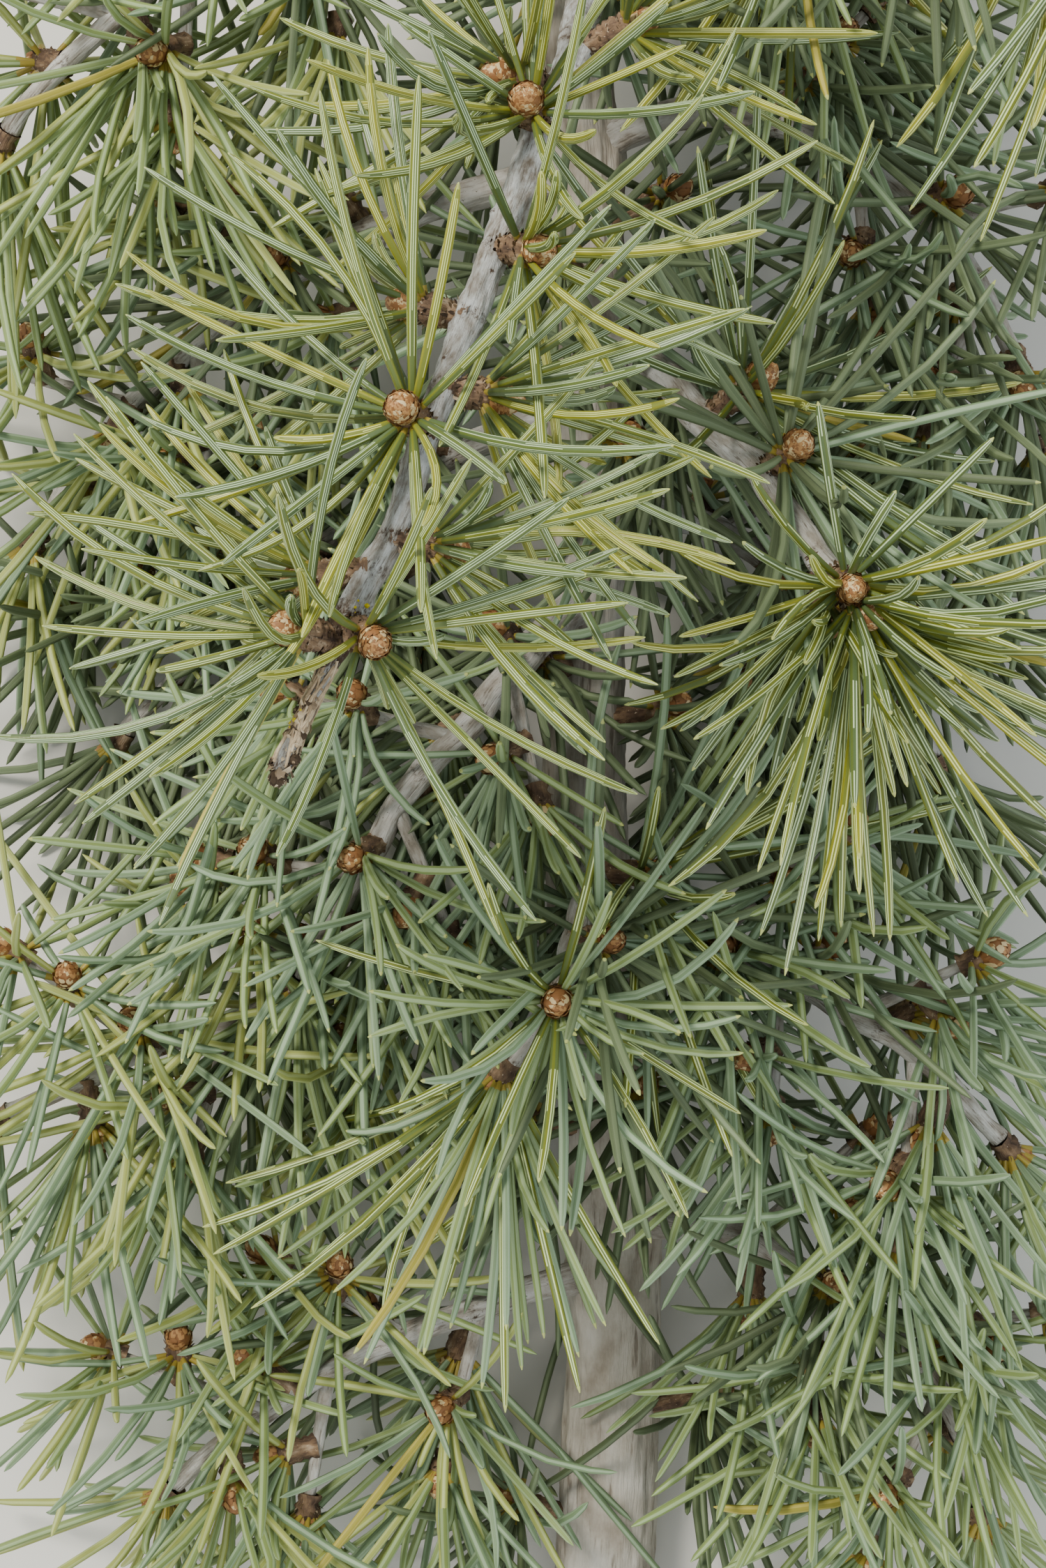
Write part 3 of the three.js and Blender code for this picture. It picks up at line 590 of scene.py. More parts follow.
elbow, tip = foot + (0, LEADER["length"] / 2, 0), foot + (LEADER["shift"], LEADER["length"], LEADER["lift"])
PATHS["leader"] = Path(arc(np.linspace(0, 1, 80)[:, None], foot, elbow, tip))

# Side twigs leave the lower shoots by turns to the left and to the right, and stay nearly level.
TWIGS = {}
for name, s in SHOOTS.items():
    path, u = PATHS[name], np.linspace(0, 1, 14)
    add_rods(path.at(u), collar(s["radii"], path, u))
    if name in HIGH_KINDS:
        continue
    for k, share in enumerate(TWIG_SHARES):
        foot, along = path.at(share), path.way(share)
        side = unit(np.cross(along, UP)) * (1 if k % 2 else -1)
        out = unit(along * 0.7 + side + UP * 0.15)
        length = mix(*TWIG_LENGTH, chance(path.length, 70 + k))
        tip = foot + out * length - UP * TWIG_DROOP * length
        if min(tip[2], foot[2]) < TWIG_FLOOR_GAP or tip[1] < STEM_CUT_Y + TWIG_CUT_GAP:
            continue
        TWIGS.setdefault(name, []).append(bezier(foot, out * length * 0.4, -out * length * 0.3, tip))
        add_rods(TWIGS[name][-1].at(np.linspace(0.15, 1, 6)), np.full(6, TWIG_RADII[0]))
front = PATHS["front"]


def front_radius(shares):
    back = (1 - shares) * front.length
    return np.interp(back, [b for b, _ in FRONT_RADII], [r for _, r in FRONT_RADII])


u = np.linspace(0, 1, 30)
add_rods(front.at(u), front_radius(u))

# Tufts

def shorter(reach, less):
    return reach[0] - less[0], reach[1] - less[1]


def plan_shoot(name, s, side):
    """The end spray and side tuft of the solids, then tufts in the room between them."""
    path, turn, needles, reach, taken = PATHS[name], s["turn"], s["needles"], s["reach"], []
    spacing, lean, shrink, sweep = SPREAD.get(name, (TUFT_SPACING, TUFT_LEAN, 1.0, None))
    shown = name in SPREAD
    for k in range(s["tufts"]):
        share = 1 - k * spacing / path.length
        foot, seed = path.at(share), path.length + k
        if k == 0:
            more = needles * (SPREAD_NEEDLES if shown else 1)
            add_tuft(foot, path.way(1.0), END_SPUR, END_OPEN, reach, more, seed, name, sweep, shown)
        else:
            aim, less = way_out(path, share, turn + k * GOLDEN_TURN, lean), tuple(r * shrink for r in reach)
            add_tuft(foot, aim, TUFT_SPUR, TUFT_OPEN, less, needles, seed, name, shown=shown)
        taken.append(share)
    if side is not None:
        aim = way_out(path, side, turn + SIDE_TURN, TUFT_LEAN)
        add_tuft(path.at(side), aim, SIDE_SPUR, TUFT_OPEN, reach, needles, path.length + 9, name)
        taken.append(side)
    k = 0
    for share in np.arange(FILL_START, 1.0, FILL_SPACING / path.length / 2):
        if min(abs(share - other) for other in taken) * path.length < FILL_SPACING * FILL_GAP:
            continue
        k += 1
        aim = way_out(path, share, turn + 180 + k * GOLDEN_TURN, TUFT_LEAN)
        spur = FILL_SPUR + FILL_SPUR_SPREAD * chance(path.length, 500 + k)
        if (path.at(share) + aim * (spur + HEAD_LENGTH + BUD_LENGTH))[2] < FLOOR_GAP:
            continue
        add_tuft(path.at(share), aim, spur, TUFT_OPEN, shorter(reach, FILL_SHORTER), needles * FILL_NEEDLES,
                 path.length + 40 + k, name, inner=k % 3 > 0)
        taken.append(share)


for name, s in SHOOTS.items():
    plan_shoot(name, s, s["side"])
    for path in TWIGS.get(name, ()):
        aims = path.way(1.0), way_out(path, 0.6, 90 * chance(path.length, 7), TUFT_LEAN)
        for k, (share, spur) in enumerate(((1.0, END_SPUR), (0.6, TWIG_SPUR))):
            add_tuft(path.at(share), aims[k], spur, TUFT_OPEN, shorter(s["reach"], TWIG_SHORTER),
                     s["needles"] * TWIG_NEEDLES, path.length + 60 + k, name)
plan_shoot("leader", LEADER, None)
for back, aim, spur, open_, reach, needles, sweep in FRONT_TUFTS:
    foot = front.at(1 - back / front.length)
    add_tuft(foot, aim, spur, open_, reach, needles, float(back), "front", sweep, shown=True)
stem_path = Path(stem_line)
for y, turn, needles in (*STEM_TUFTS, *((y, turn, STEM_FILL_NEEDLES) for y, turn in STEM_FILL)):
    share = (y - STEM_CUT_Y) / (STEM_TIP_Y - STEM_CUT_Y)
    aim = way_out(stem_path, share, turn, TUFT_LEAN)
    if (stem_point(y) + aim * (stem_radius(y) + STEM_TUFT_TOP))[2] < FLOOR_GAP:
        continue
    add_tuft(stem_point(y), aim, STEM_SPUR + stem_radius(y), TUFT_OPEN, STEM_REACH, needles, float(y), "stem",
             inner=True)
first_rod = len(RODS) - len(tufts)  # the rods of the tufts come last, in the same order


def shoot_mesh(path, radius, sides, step, seed, kind, lump=SHOOT_LUMP):
    """A shoot with long wrinkles, swollen and dark where its spurs stand."""
    shares = np.linspace(0, 1, int(path.length / step))
    along, size = shares * path.length, radius(shares)
    relief = lump * ripple(along, sides, seed, (1, 5), (5, 22))
    relief = relief + 0.05 * ripple(along, sides, seed + 9, (5, sides / 4), (3, 14))
    relief = relief - 0.1 * np.clip(ripple(along, sides, seed + 17, (4, sides / 4), (5, 16)) - 0.7, 0, 1.2)
    relief = relief * (size / LUMP_RADIUS)[:, None]
    side, over = frames(path.at(shares))
    dark = np.zeros((len(shares), 1))
    for tuft in tufts:
        if tuft["kind"] != kind:
            continue
        gap = np.linalg.norm(path.at(shares) - tuft["foot"], axis=1)
        face = np.arctan2(over @ tuft["aim"], side @ tuft["aim"])
        relief = relief + swelling(gap, face, sides, *SPUR_SWELL)
        dark = np.maximum(dark, SPUR_DARK * np.exp(-(gap / SPUR_SWELL[1]) ** 2)[:, None])
    if kind == "front":
        back = (1 - shares) * path.length
        dark = np.maximum(dark, np.interp(back, *zip(*FRONT_DARK))[:, None])
        for k in range(SCARS):
            gap = back - SCAR_START - k * SCAR_PITCH
            spot = swelling(gap, 2 * np.pi * k * GOLDEN_SHARE, sides, 1, *SCAR_REACH)
            relief, dark = relief + SCAR_RISE * spot, np.maximum(dark, SCAR_DARK * spot)
    mesh = Mesh()
    tube(mesh, path.at(shares), size, sides, relief, dark, seed)
    return mesh


for k, (name, s) in enumerate(SHOOTS.items()):
    mesh = shoot_mesh(PATHS[name], lambda u: collar(s["radii"], PATHS[name], u), 20, 0.75, 30.0 + k, name)
    for path in TWIGS.get(name, ()):
        u = np.linspace(0, 1, 24)
        relief = 0.08 * ripple(u * path.length, 10, path.length, (1, 4), (4, 12))
        tube(mesh, path.at(u), mix(*TWIG_RADII, u), 10, relief)
    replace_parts(mesh.make(name + "_shoot_bark", [SHOOT_BARK]), name + "_shoot")
mesh = shoot_mesh(front, front_radius, 48, 0.35, 77.0, "front", FRONT_LUMP)
piece = mesh.make("front_shoot_bark", [FRONT_BARK])
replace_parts(piece, "front_shoot", "front_shoot_base")
leader = PATHS["leader"]


def leader_radius(shares):
    """Its foot is as wide as the tip of the stem."""
    return collar(LEADER["radii"], leader, shares) / (1 + COLLAR_SWELL)


mesh = shoot_mesh(leader, leader_radius, 24, 0.5, 60.0, "leader")
mesh.make("leader_bark", [SHOOT_BARK])

# Needles have a four-cornered section: a green ridge at each corner, and along each side two or three white
# lines with green between them. Each level of detail gives the corners of a quarter of the section, in
# degrees, with the part of the needle that follows: 0 ridge, 1 line, 2 between, 3 lines too fine to part.

SECTIONS = {
    "fine": ((-16, 0), (16, 1), (25, 2), (39, 1), (49, 2), (65, 1)),
    "middle": ((-18, 0), (18, 1), (35, 2), (55, 1)),
    "plain": ((-24, 0), (24, 3)),
}
STATIONS = {
    "fine": (0, 0.05, 0.16, 0.3, 0.45, 0.6, 0.75, 0.88, 0.94, 0.975, 0.993, 1.0),
    "middle": (0, 0.05, 0.16, 0.36, 0.6, 0.82, 0.93, 0.98, 1.0),
    "plain": (0, 0.08, 0.3, 0.6, 0.85, 0.96, 1.0),
}
# Their width by the share of their length
WIDTHS = ((0, 0.55), (0.05, 0.72), (0.16, 0.88), (0.35, 1.0), (0.78, 1.0), (0.9, 0.88), (0.955, 0.7),
          (0.985, 0.42), (1.0, 0.1))
WIDTH_SPREAD, SIDE_DEPTH, SIDE_ANGLE = (0.88, 1.12), 0.83, 40  # how flat sides are, from this angle on
LINE_GAPS, LATE_LINES, EARLY_LINES = 0.06, 0.4, 0.3  # shares of lines with a gap, a late start, an early end
TIP_START = 0.977
TINTS = {  # ridge, line, between, and lines too fine to part, or ridge and band of needles lower down
    "sage": ("656c20", "c0ce90", "586634", "91a063"),
    "blue": ("515f2a", "b4c69c", "4e5f3a", "83986b"),
    "yellow": ("7e7e20", "cbd07e", "70772c", "9ea65a"),
    "mist": ("73844b", "8ea072"),
    "haze": ("697e5b", "869a7b"),
    "straw": ("90974d", "a4ad6e"),
    # shade and the darkest green after it are painted shade, for the tufts that lie low, at the back or
    # between the others
    "shade": ("5e6c4b", "707e5c"),
    "deep_shade": ("4c583a", "5c684a"),
    "gold": ("8c842d", "a59a4a"),
}
SAGE, BLUE, YELLOW, MIST, HAZE, STRAW, SHADE, DEEP_SHADE, GOLD = range(9)
OLD_SHARE = 0.004  # share of golden needles
ROUGHNESS = (0.38, 0.5, 0.45, 0.48)
needle_materials, SLOTS = [], []
for tint, codes in TINTS.items():
    first = len(needle_materials)
    for k, code in enumerate(codes):
        rough = ROUGHNESS[k] if len(codes) == 4 else 0.6
        needle_materials.append(material(f"needle_{tint}_{k}", code, rough, 0.4, (2600, 2, 0.3, 0.0001)))
    SLOTS.append([first, first + 1, first + len(codes) // 2, first + len(codes) - 1])
SLOTS = np.array(SLOTS)
for end, code in (("tip", "a3aa62"), ("base", "958433")):
    needle_materials.append(material(f"needle_{end}", code, 0.45, 0.45, (2600, 2, 0.3, 0.0001)))
TIP, BASE = len(needle_materials) - 2, len(needle_materials) - 1


def add_needles(mesh, lines, seed, tint_mix, detail, width):
    """All the needles of one tuft."""
    n, k = len(lines), np.arange(len(lines))
    if not n:
        return
    stations = np.array(STATIONS[detail])
    corners = [(quarter + angle, part) for quarter in (0, 90, 180, 270) for angle, part in SECTIONS[detail]]
    section = np.radians([c[0] for c in corners])
    parts = np.array([c[1] for c in corners])
    from_ridge = np.abs((section + np.pi / 4) % (np.pi / 2) - np.pi / 4)
    depth = mix(1.0, SIDE_DEPTH, np.clip(np.degrees(from_ridge) / SIDE_ANGLE, 0, 1) ** 0.7)
    t = stations[None, :, None]
    root, elbow, tip = (lines[:, k][:, None] for k in range(3))
    points = arc(t, root, elbow, tip)
    ways = unit(2 * (1 - t) * (elbow - root) + 2 * t * (tip - elbow))
    twist = 2 * np.pi * chance(seed, k + 400)
    ref = np.tile(UP, (n, 1))
    ref[np.abs(ways[:, 0, 2]) > 0.9] = ALONG
    side = unit(np.cross(ways, ref[:, None]))
    over = np.cross(ways, side)
    size = NEEDLE_RADIUS * width * mix(*WIDTH_SPREAD, chance(seed, k + 450))
    widths = np.interp(stations, *zip(*WIDTHS))
    a = section[None, None, :] + twist[:, None, None]
    r = depth[None, None, :] * widths[None, :, None] * size[:, None, None]
    shell = points[:, :, None] + (np.cos(a) * r)[..., None] * side[:, :, None]
    shell = shell + (np.sin(a) * r)[..., None] * over[:, :, None]
    rings, sides = len(stations), len(section)
    pick = np.floor(chance(seed, k + 480) * len(tint_mix)).astype(int)
    tints = np.where(chance(seed, k + 470) < OLD_SHARE, GOLD, np.array(tint_mix)[pick])
    spread = np.broadcast_to(parts, (n, rings - 1, sides))
    gaps = chance(seed, np.arange(spread.size) + 5000).reshape(spread.shape) < LINE_GAPS
    slots = SLOTS[tints[:, None, None], np.where(gaps & (spread == 1), 2, spread)]
    slots[:, stations[:-1] > TIP_START] = TIP
    slots[:, 0] = BASE
    start = SLOTS[tints[:, None], np.where(parts == 0, 0, 2)]
    slots[:, 1] = start
    late = chance(seed, np.arange(2 * n * sides) + 9000).reshape(2, n, sides)
    slots[:, 2] = np.where(late[0] < LATE_LINES, start, slots[:, 2])
    slots[:, -4] = np.where(late[1] < EARLY_LINES, start, slots[:, -4])
    starts = (np.arange(n) * rings * sides)[:, None, None]
    mesh.add(shell, (skin(rings, sides)[None] + starts).reshape(-1, 4), slots.reshape(-1))


# The shade greens in the mixes of the back shoots, upper_right and the stem are painted shade
TINT_MIXES = {
    "front": (SAGE, SAGE, BLUE, YELLOW, SAGE, BLUE), "right": (SAGE, BLUE, SAGE, YELLOW, BLUE),
    "middle": (SAGE, MIST, MIST, HAZE, SAGE), "lower_left": (HAZE, MIST, MIST, HAZE),
    "bottom_left": (STRAW, MIST, STRAW, HAZE), "left": (STRAW, MIST, HAZE), "top_left": (STRAW, MIST, MIST),
    "top_right": (SAGE, YELLOW, BLUE, MIST), "upper_right": (HAZE, SHADE, SHADE),
    "lower_right": (HAZE, HAZE, MIST), "bottom_right": (HAZE, MIST, MIST),
    "bottom_corner": (STRAW, MIST, HAZE), "stem": (SHADE, SHADE, HAZE), "leader": (MIST, HAZE, SHADE),
    **dict.fromkeys(("back_left", "back_right", "top_back"), (SHADE, DEEP_SHADE)),
}
# Darker greens painted as shade
PAINTED_SHADE_MIX = (DEEP_SHADE, SHADE, DEEP_SHADE, SHADE, HAZE)  # for tufts in the shade between the others
GROUPS = {  # the masses of needles: their detail, and the shoots they grow on
    "front": ("fine", ("front",)),
    "right": ("middle", ("right", "top_right")),
    "middle": ("middle", ("middle", "lower_left")),
    "left": ("plain", ("left", "top_left", "back_left", "leader")),
    "low_left": ("plain", ("bottom_left", "bottom_corner", "stem")),
    "low_right": ("plain", ("lower_right", "bottom_right", "back_right", "top_back", "upper_right")),
}
masses = [n for n in frame["nodes"] if not n.endswith(("_shoot", "_base")) and n != "main_stem"]
for group, (detail, kinds) in GROUPS.items():
    mesh = Mesh()
    for k, tuft in enumerate(tufts):
        if tuft["kind"] in kinds:
            share = FRONT_SHARE if tuft["kind"] == "front" else NEEDLE_SHARE
            lines = needle_lines(tuft, round(tuft["needles"] * share), first_rod + k)
            # Tufts between the others take the darker greens of painted shade
            tints = PAINTED_SHADE_MIX if tuft["inner"] else TINT_MIXES[tuft["kind"]]
            width = LOW_WIDTH if detail == "plain" or tuft["inner"] else 1.0
            add_needles(mesh, lines, tuft["seed"], tints, detail, width)
    piece = mesh.make("needles_" + group, needle_materials)
    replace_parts(piece, *[m for m in masses if m.startswith(kinds)])

# Spurs, buds and the dry scales round them

FIBRE_BARK = bark("fibre_bark", ("7d6a54", "a28d71", "c0ac8e", "d6c8ae"), "4e3d2c", 0.4, "5f4d3a", 0.0002)
SPUR_BARK = bark("spur_bark", ("3c2f26", "5b4738", "80674e", "a59178"), "33271f", 0.5, "2f241d", 0.0003,
                 "c2b298")
# The pale of the bud scales is a painted highlight; add_bud deals it mostly to their edges
BUD_TAN, BUD_RUST, BUD_PALE_HIGHLIGHT = (
    material(f"bud_{tone}", code, 0.6, 0.35, (3000, 3, 0.4, 0.0001))
    for tone, code in (("tan", "a87c4c"), ("rust", "855a34"), ("pale", "cab284")))
DRY, DRY_DARK, DRY_PALE = (material(f"dry_scale_{k}", code, 0.8, 0.25, (1800, 4, 0.6, 0.0003))
                           for k, code in enumerate(("5f4c36", "382b20", "a3927a")))


COLLAR_PITCH, COLLAR_RELIEF, SPUR_ROUGH = 1.1, 0.36, 0.2
# Scales: length and half width at the foot and top of a bud of this radius
SCALE_LENGTH, SCALE_HALF, SCALE_BUD = (1.15, 0.7), (0.62, 0.4), 1.85
# Rows of a scale: shares of its length and half width, and how far it stands off
SCALE_ROWS = ((0, 0.75, 0.0), (0.5, 1.0, 0.1), (0.85, 0.62, 0.16), (1.0, 0.0, 0.22))
RUFF_LEAN, RUFF_LENGTH, RUFF_START = (20, 75), (0.4, 1.2), (-0.2, 1.4)
RUFF_ROWS = ((0, 0.26), (0.6, 0.2), (1, 0))


def stand(points, foot, aim):
    """Points of an upright thing, stood on foot and turned to aim."""
    ref = UP if abs(aim[2]) < 0.9 else ALONG
    side = unit(np.cross(aim, ref))
    over = np.cross(aim, side)
    return foot + points[..., 0:1] * side + points[..., 1:2] * over + points[..., 2:3] * aim


def add_spur(mesh, tuft, sides, pitch):
    """A spur is a stack of the ragged collars that each year's bud scales leave behind."""
    seed, top = tuft["seed"], tuft["spur"] + HEAD_LENGTH
    z = np.linspace(0, top, int(top / pitch))
    width = np.interp(z, [0, 1.5, tuft["spur"], top - 0.4, top],
                      [SPUR_RADIUS * 1.25, SPUR_RADIUS, HEAD_RADIUS, HEAD_RADIUS * 0.95, HEAD_RADIUS * 0.6])
    a = around(sides)
    wave = 0.9 * np.sin(a + 6 * chance(seed, 3)) + 0.6 * np.sin(3 * a + 6 * chance(seed, 4))
    collars = np.abs(np.sin(np.pi * z[:, None] / COLLAR_PITCH + 0.5 * wave[None] + seed)) ** 0.6 - 0.5
    rough = 2 * chance(seed, np.arange(len(z) * sides)).reshape(len(z), sides) - 1
    relief = COLLAR_RELIEF * collars + SPUR_ROUGH * rough
    tube(mesh, tuft["foot"] + z[:, None] * tuft["aim"], width, sides, relief, 0, seed)


def add_bud(core, scales, tuft, count, scale=1.0):
    """An egg of overlapping papery scales."""
    seed, foot = tuft["seed"], tuft["head"] + tuft["aim"] * HEAD_LENGTH * BUD_SUNK
    size = scale * mix(0.9, 1.1, chance(seed, 610))
    half, tall = BUD_RADIUS * size, BUD_LENGTH * size

    def profile(s):
        return half * np.sin(np.pi * np.clip(0.16 + 0.84 * s, 0, 1)) ** 0.62

    z = np.linspace(0, 1, 7)
    points = turned(profile(z)[:, None] * 0.97, around(9), (z * tall)[:, None])
    core.add(stand(points, foot, tuft["aim"]), skin(7, 9), 1)
    k = np.arange(count)
    s = (k + 0.5) / count
    turn = 2 * np.pi * k * GOLDEN_SHARE + 0.5 * (chance(seed, k + 720) - 0.5)
    reach = mix(*SCALE_LENGTH, s) * half / SCALE_BUD * mix(0.75, 1.3, chance(seed, k + 730))
    wide = mix(*SCALE_HALF, s) * half / SCALE_BUD * mix(0.7, 1.35, chance(seed, k + 740))
    rows = []
    for along, breadth, proud in SCALE_ROWS:
        here = np.clip(s + along * reach / tall, 0, 1.02)
        rad = profile(np.minimum(here, 0.995)) + proud * mix(0.7, 1.5, chance(seed, k + 640))
        rad = np.where(here > 0.97, rad * 0.5, rad)
        spread = wide * breadth / np.maximum(rad, 0.35)
        for sign in ((-1, 0, 1) if breadth else (0,)):
            bulge = 0.05 if sign == 0 else -0.03
            rows.append(turned(rad + bulge, turn + sign * spread, here * tall))
    points = np.stack(rows, 1)
    quads = [[0, 1, 4, 3], [1, 2, 5, 4], [3, 4, 7, 6], [4, 5, 8, 7]]
    tips = [[6, 7, 9], [7, 8, 9]]
    starts = (k * 10)[:, None, None]
    tone = chance(seed, k + 700)
    body = np.where(tone < 0.55, 0, np.where(tone < 0.85, 1, 2))
    # Each scale's edge takes slot 1 or slot 2; on a live bud slot 2 is the pale that paints a highlight
    edge = np.where(chance(seed, k + 760) < 0.35, 2, 1)
    placed = stand(points, foot, tuft["aim"])
    slots = np.stack([body, body, body, edge], 1)
    scales.add(placed, (np.array(quads)[None] + starts).reshape(-1, 4), slots.reshape(-1))
    scales.add(placed, (np.array(tips)[None] + starts).reshape(-1, 3), np.stack([edge, body], 1).reshape(-1))


def add_ruff(mesh, tuft, count):
    """Dry bud scales that stand out round the foot of the bud."""
    seed = tuft["seed"]
    k = np.arange(count)
    turn = 2 * np.pi * (k + 0.7 * chance(seed, k + 800)) / count
    lean = np.radians(mix(*RUFF_LEAN, chance(seed, k + 820)))
    long = mix(*RUFF_LENGTH, chance(seed, k + 840))
    z0 = mix(*RUFF_START, chance(seed, k + 860))
    rows = []
    for along, breadth in RUFF_ROWS:
        rad = HEAD_RADIUS * 0.85 + along * long * np.sin(lean)
        z = z0 + along * long * np.cos(lean)
        for sign in ((-1, 1) if breadth else (0,)):
            rows.append(turned(rad, turn + sign * breadth / HEAD_RADIUS, z))
    points = stand(np.stack(rows, 1), tuft["head"], tuft["aim"])
    starts = (k * 5)[:, None]
    slots = 3 + np.floor(chance(seed, k + 880) ** 1.5 * 3).astype(int)
    mesh.add(points, np.array([0, 1, 3, 2]) + starts, slots)
    mesh.add(points, np.array([2, 3, 4]) + starts, slots)


spurs, cores, scales = Mesh(), Mesh(), Mesh()
for tuft in tufts:
    near = tuft["kind"] in NEAR_KINDS
    add_spur(spurs, tuft, *(NEAR_SPUR if near else FAR_SPUR))
    bud_scales, ruff_scales = NEAR_SCALES if near else FAR_SCALES
    add_bud(cores, scales, tuft, bud_scales)
    add_ruff(scales, tuft, ruff_scales)
    for share in LOW_RUFFS if near else ():
        head = mix(tuft["foot"], tuft["head"], share)
        add_ruff(scales, {**tuft, "head": head, "seed": tuft["seed"] + share}, LOW_RUFF_SCALES)
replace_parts(spurs.make("spurs", [SPUR_BARK]), *masses)
cores.make("bud_cores", [BUD_TAN, BUD_RUST, BUD_PALE_HIGHLIGHT])
scales.make("bud_scales", [BUD_TAN, BUD_RUST, BUD_PALE_HIGHLIGHT, DRY, DRY_DARK, DRY_PALE])

# The dead tip of the front shoot: the lumps of buds that never opened, and torn flakes of bark round them

# Lumps: distance from the tip, turn, lean, rise, size
LUMPS = ((0, 0, 1.6, -0.8, 0.62), (1.6, 130, 0.5, 0.3, 0.5), (2.9, 300, 0.5, 0.3, 0.45),
         (8.2, 80, 0.5, 0.3, 0.34))
FLAKES, TIP_FLAKES, FLAKE_PARTS = 90, 70, (7.5, 15)  # most stand on the first part of the dead tip
FLAKE_SPANS = ((0.2, 1.1), (0.6, 1.7), (0.2, 0.55))  # rise, length and half width
STUB, STUB_DARK, STUB_PALE = (material(f"stub_flake_{k}", code, 0.85, 0.2, (1800, 4, 0.6, 0.0003))
                              for k, code in enumerate(("83715b", "45382b", "b8a78b")))
dead = Mesh()
for k, (back, turn, lean, rise, size) in enumerate(LUMPS):
    aim = way_out(front, 0.999, turn, lean)
    head = front.at(1 - back / front.length) + aim * (rise - HEAD_LENGTH * BUD_SUNK)
    add_bud(dead, dead, {"head": head, "aim": aim, "seed": 400.0 + k}, 16, size)
for k in range(FLAKES):
    draw = chance(51.0, k)
    back = FLAKE_PARTS[0] * draw ** 1.5 if k < TIP_FLAKES else mix(*FLAKE_PARTS, draw)
    share = 1 - back / front.length
    out = way_out(front, share, 360 * chance(52.0, k), 0)
    along = front.way(share) * (1 if chance(53.0, k) < 0.7 else -1)
    across = np.cross(out, along)
    rise, long, half = (mix(*span, chance(54.0 + j, k)) for j, span in enumerate(FLAKE_SPANS))
    way = unit(along + out * rise)
    foot = front.at(share) + out * (front_radius(share) * 0.85)
    tip = foot + way * long
    middle, bend = mix(foot, tip, 0.6), out * 0.12 * long
    points = np.stack([foot - across * half, foot + across * half, middle - across * half * 1.1 + bend,
                       middle + across * half * 0.8 + bend, tip + across * half * (chance(58.0, k) - 0.5)])
    tone = int(3 * chance(59.0, k) ** 0.8)
    dead.add(points, [[0, 1, 3, 2]], tone)
    dead.add(points, [[2, 3, 4]], tone)
dead.make("dead_bud", [STUB, STUB_DARK, STUB_PALE])

# Loose fibres along the dead tip, and crusts of lichen on it and at the last spurs

FIBRES, FIBRE_START, FIBRE_END, FIBRE_RADIUS = 38, (10, 15), (0.8, 6), (0.08, 0.22)
fibres = Mesh()
side, over = frames(front.at(np.linspace(0, 1, 400)))
for k in range(FIBRES):
    back = np.linspace(mix(*FIBRE_START, chance(31.0, k)), mix(*FIBRE_END, chance(32.0, k)), 22)
    share = 1 - back / front.length
    j = np.round(share * 399).astype(int)
    a = 2 * np.pi * k * GOLDEN_SHARE + 0.5 * np.sin(back * mix(0.2, 0.5, chance(33.0, k)) + k)
    lift = front_radius(share) + 0.04 + 0.14 * np.sin(back * 0.9 + 2 * k) ** 2
    line = front.at(share) + (np.cos(a) * lift)[:, None] * side[j] + (np.sin(a) * lift)[:, None] * over[j]
    radius = np.full(22, mix(*FIBRE_RADIUS, chance(34.0, k)))
    tube(fibres, line, radius, 6, None, 0.1 * (k % 4), k)
fibres.make("dead_fibres", [FIBRE_BARK])

LICHEN = material("lichen", "c4b32a", 0.9, 0.2, (4000, 3, 0.7, 0.0003))
# Crusts of lichen: the first and last, distance from the dead tip, turn, and how far they stand off
CRUSTS = ((0, 9, (5.5, 8.0), 70, 0.25), (9, 22, (18, 22), -40, 0.1))
crusts = Mesh()
for j, (first, end, backs, turn, lift) in enumerate(CRUSTS):
    for k in range(first, end):
        share = 1 - mix(*backs, chance(41.0 + j, k)) / front.length
        out = way_out(front, share, turn + 70 * (chance(43.0, k) - 0.5), 0)
        half = mix(0.14, 0.32, chance(44.0, k) ** 2)
        z = half * np.array([-0.5, 0.15, 0.5, 0.62])
        ragged = mix(0.75, 1.2, chance(45.0 + k, np.arange(32)).reshape(4, 8))
        points = turned(half * np.array([1.0, 0.95, 0.55, 0.05])[:, None] * ragged, around(8), z[:, None])
        crusts.add(stand(points, front.at(share) + out * (front_radius(share) + lift), out), skin(4, 8))
crusts.make("lichen_crusts", [LICHEN])

# The cut face of the stem

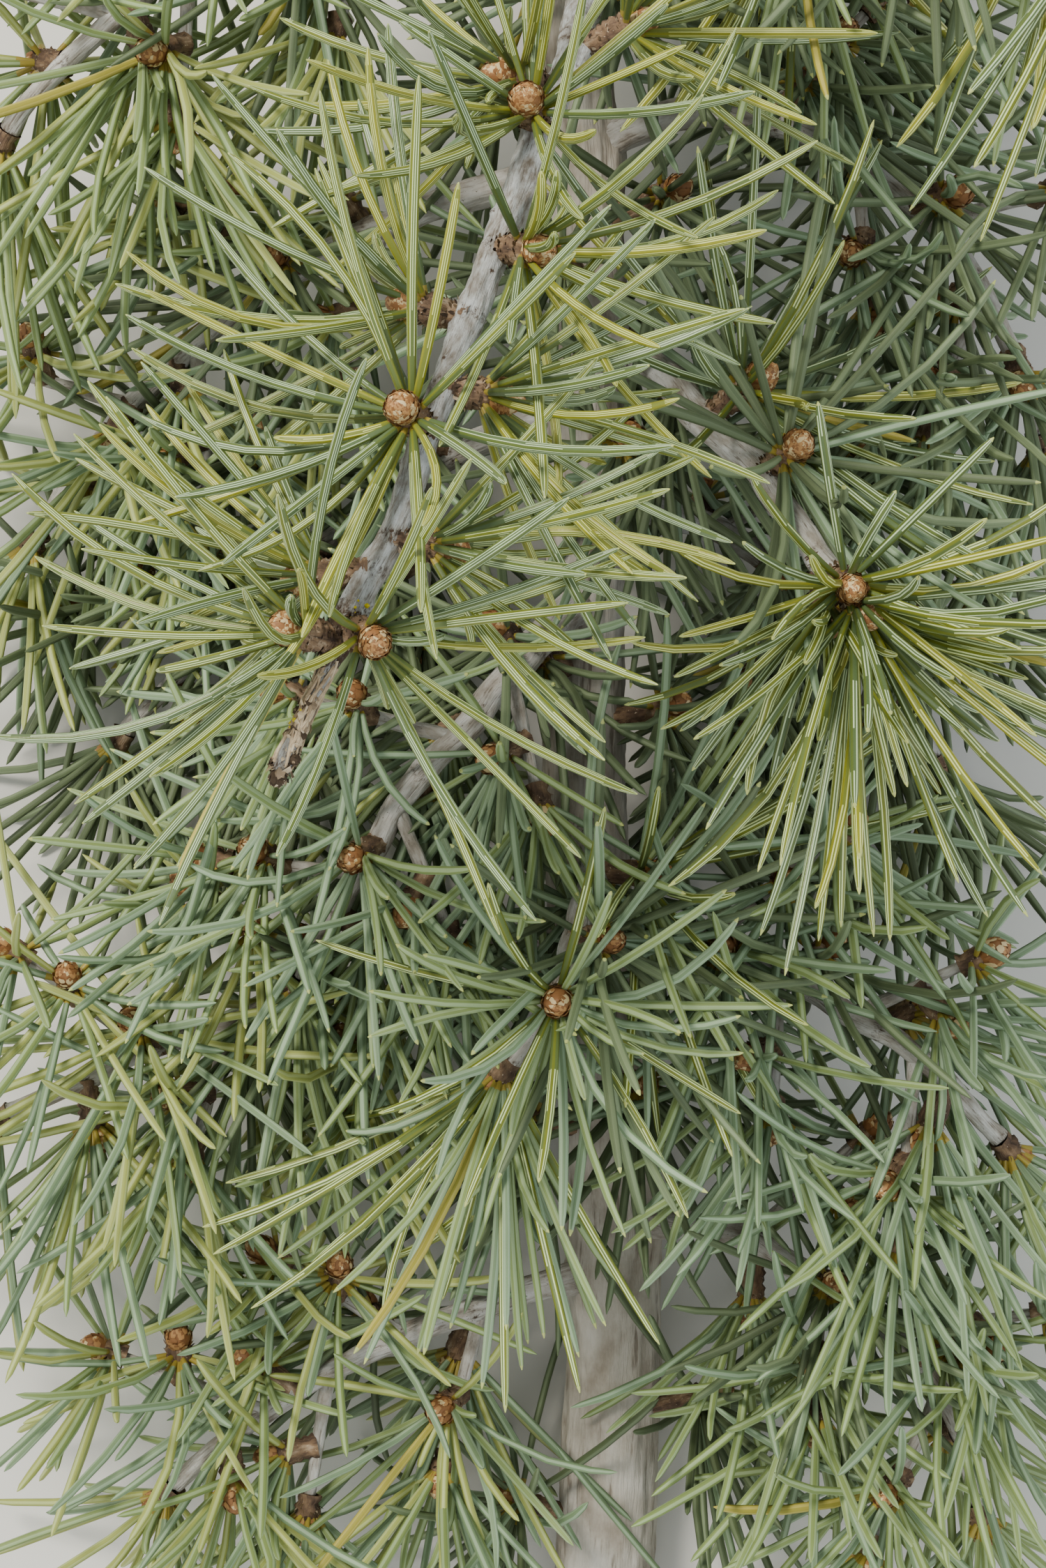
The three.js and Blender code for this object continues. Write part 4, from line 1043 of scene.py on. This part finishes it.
WOOD = material("cut_wood", "dcbf8e", 0.75, 0.3, (900, 5, 0.5, 0.0003))
cut = Mesh()
rings = np.array([0.02, 0.2, 0.35, 0.5, 0.65, 0.8, 0.9, 0.97])
a = around(STEM_SIDES)
depth = 0.05 * (2 * chance(4.0, np.arange(len(rings))) - 1)
centre = stem_point(STEM_CUT_Y)
disc = np.stack([centre[0] + STEM_CUT_RADIUS * rings[:, None] * np.cos(a),
                 STEM_CUT_Y - 0.02 + depth[:, None] + 0 * a,
                 centre[2] + STEM_CUT_RADIUS * rings[:, None] * np.sin(a)], -1)
cut.add(disc, skin(len(rings), STEM_SIDES))
cut.make("cut_face", [WOOD])

# Floor, light and camera

LAMPS = {  # place, size, power, colour
    "key": ((-0.5, 0.55, 1.1), 0.35, 24, "fffaf0"),
    "fill": ((0.9, -0.2, 0.7), 0.9, 5, "e6f0ff"),
    "low": ((-0.2, -1.0, 0.5), 0.8, 3, "ffffff"),
}
floor_mesh = bpy.data.meshes.new("floor")
floor_mesh.from_pydata([(-3, -3, 0), (3, -3, 0), (3, 3, 0), (-3, 3, 0)], [], [(0, 1, 2, 3)])
floor = add_object("floor", floor_mesh)
floor_mesh.materials.append(material("floor", "d2cfc7", 0.85, 0.2, bump=(40, 4, 0.05, 0.001)))

world = bpy.data.worlds.new("sky")
bpy.context.scene.world = world
world.use_nodes = True
sky = world.node_tree.nodes["Background"]
sky.inputs["Color"].default_value, sky.inputs["Strength"].default_value = srgb("e4eaec"), 1.15
for name, (place, size, power, code) in LAMPS.items():
    light = bpy.data.lights.new(name, "AREA")
    light.shape, light.size, light.energy = "DISK", size, power
    light.color = srgb(code)[:3]
    item = add_object(name, light)
    item.location = place
    item.rotation_mode = "QUATERNION"
    item.rotation_quaternion = Vector(place).to_track_quat("Z", "Y")

camera = bpy.data.cameras.new("camera")
camera.sensor_width, camera.lens, camera.clip_start = 36.0, 70.0, 0.01
eye = add_object("camera", camera)
eye.location = (SHIFT[0] / 1000, SHIFT[1] / 1000, 0.475)
eye.rotation_euler = (0, 0, 0)
bpy.context.scene.camera = eye
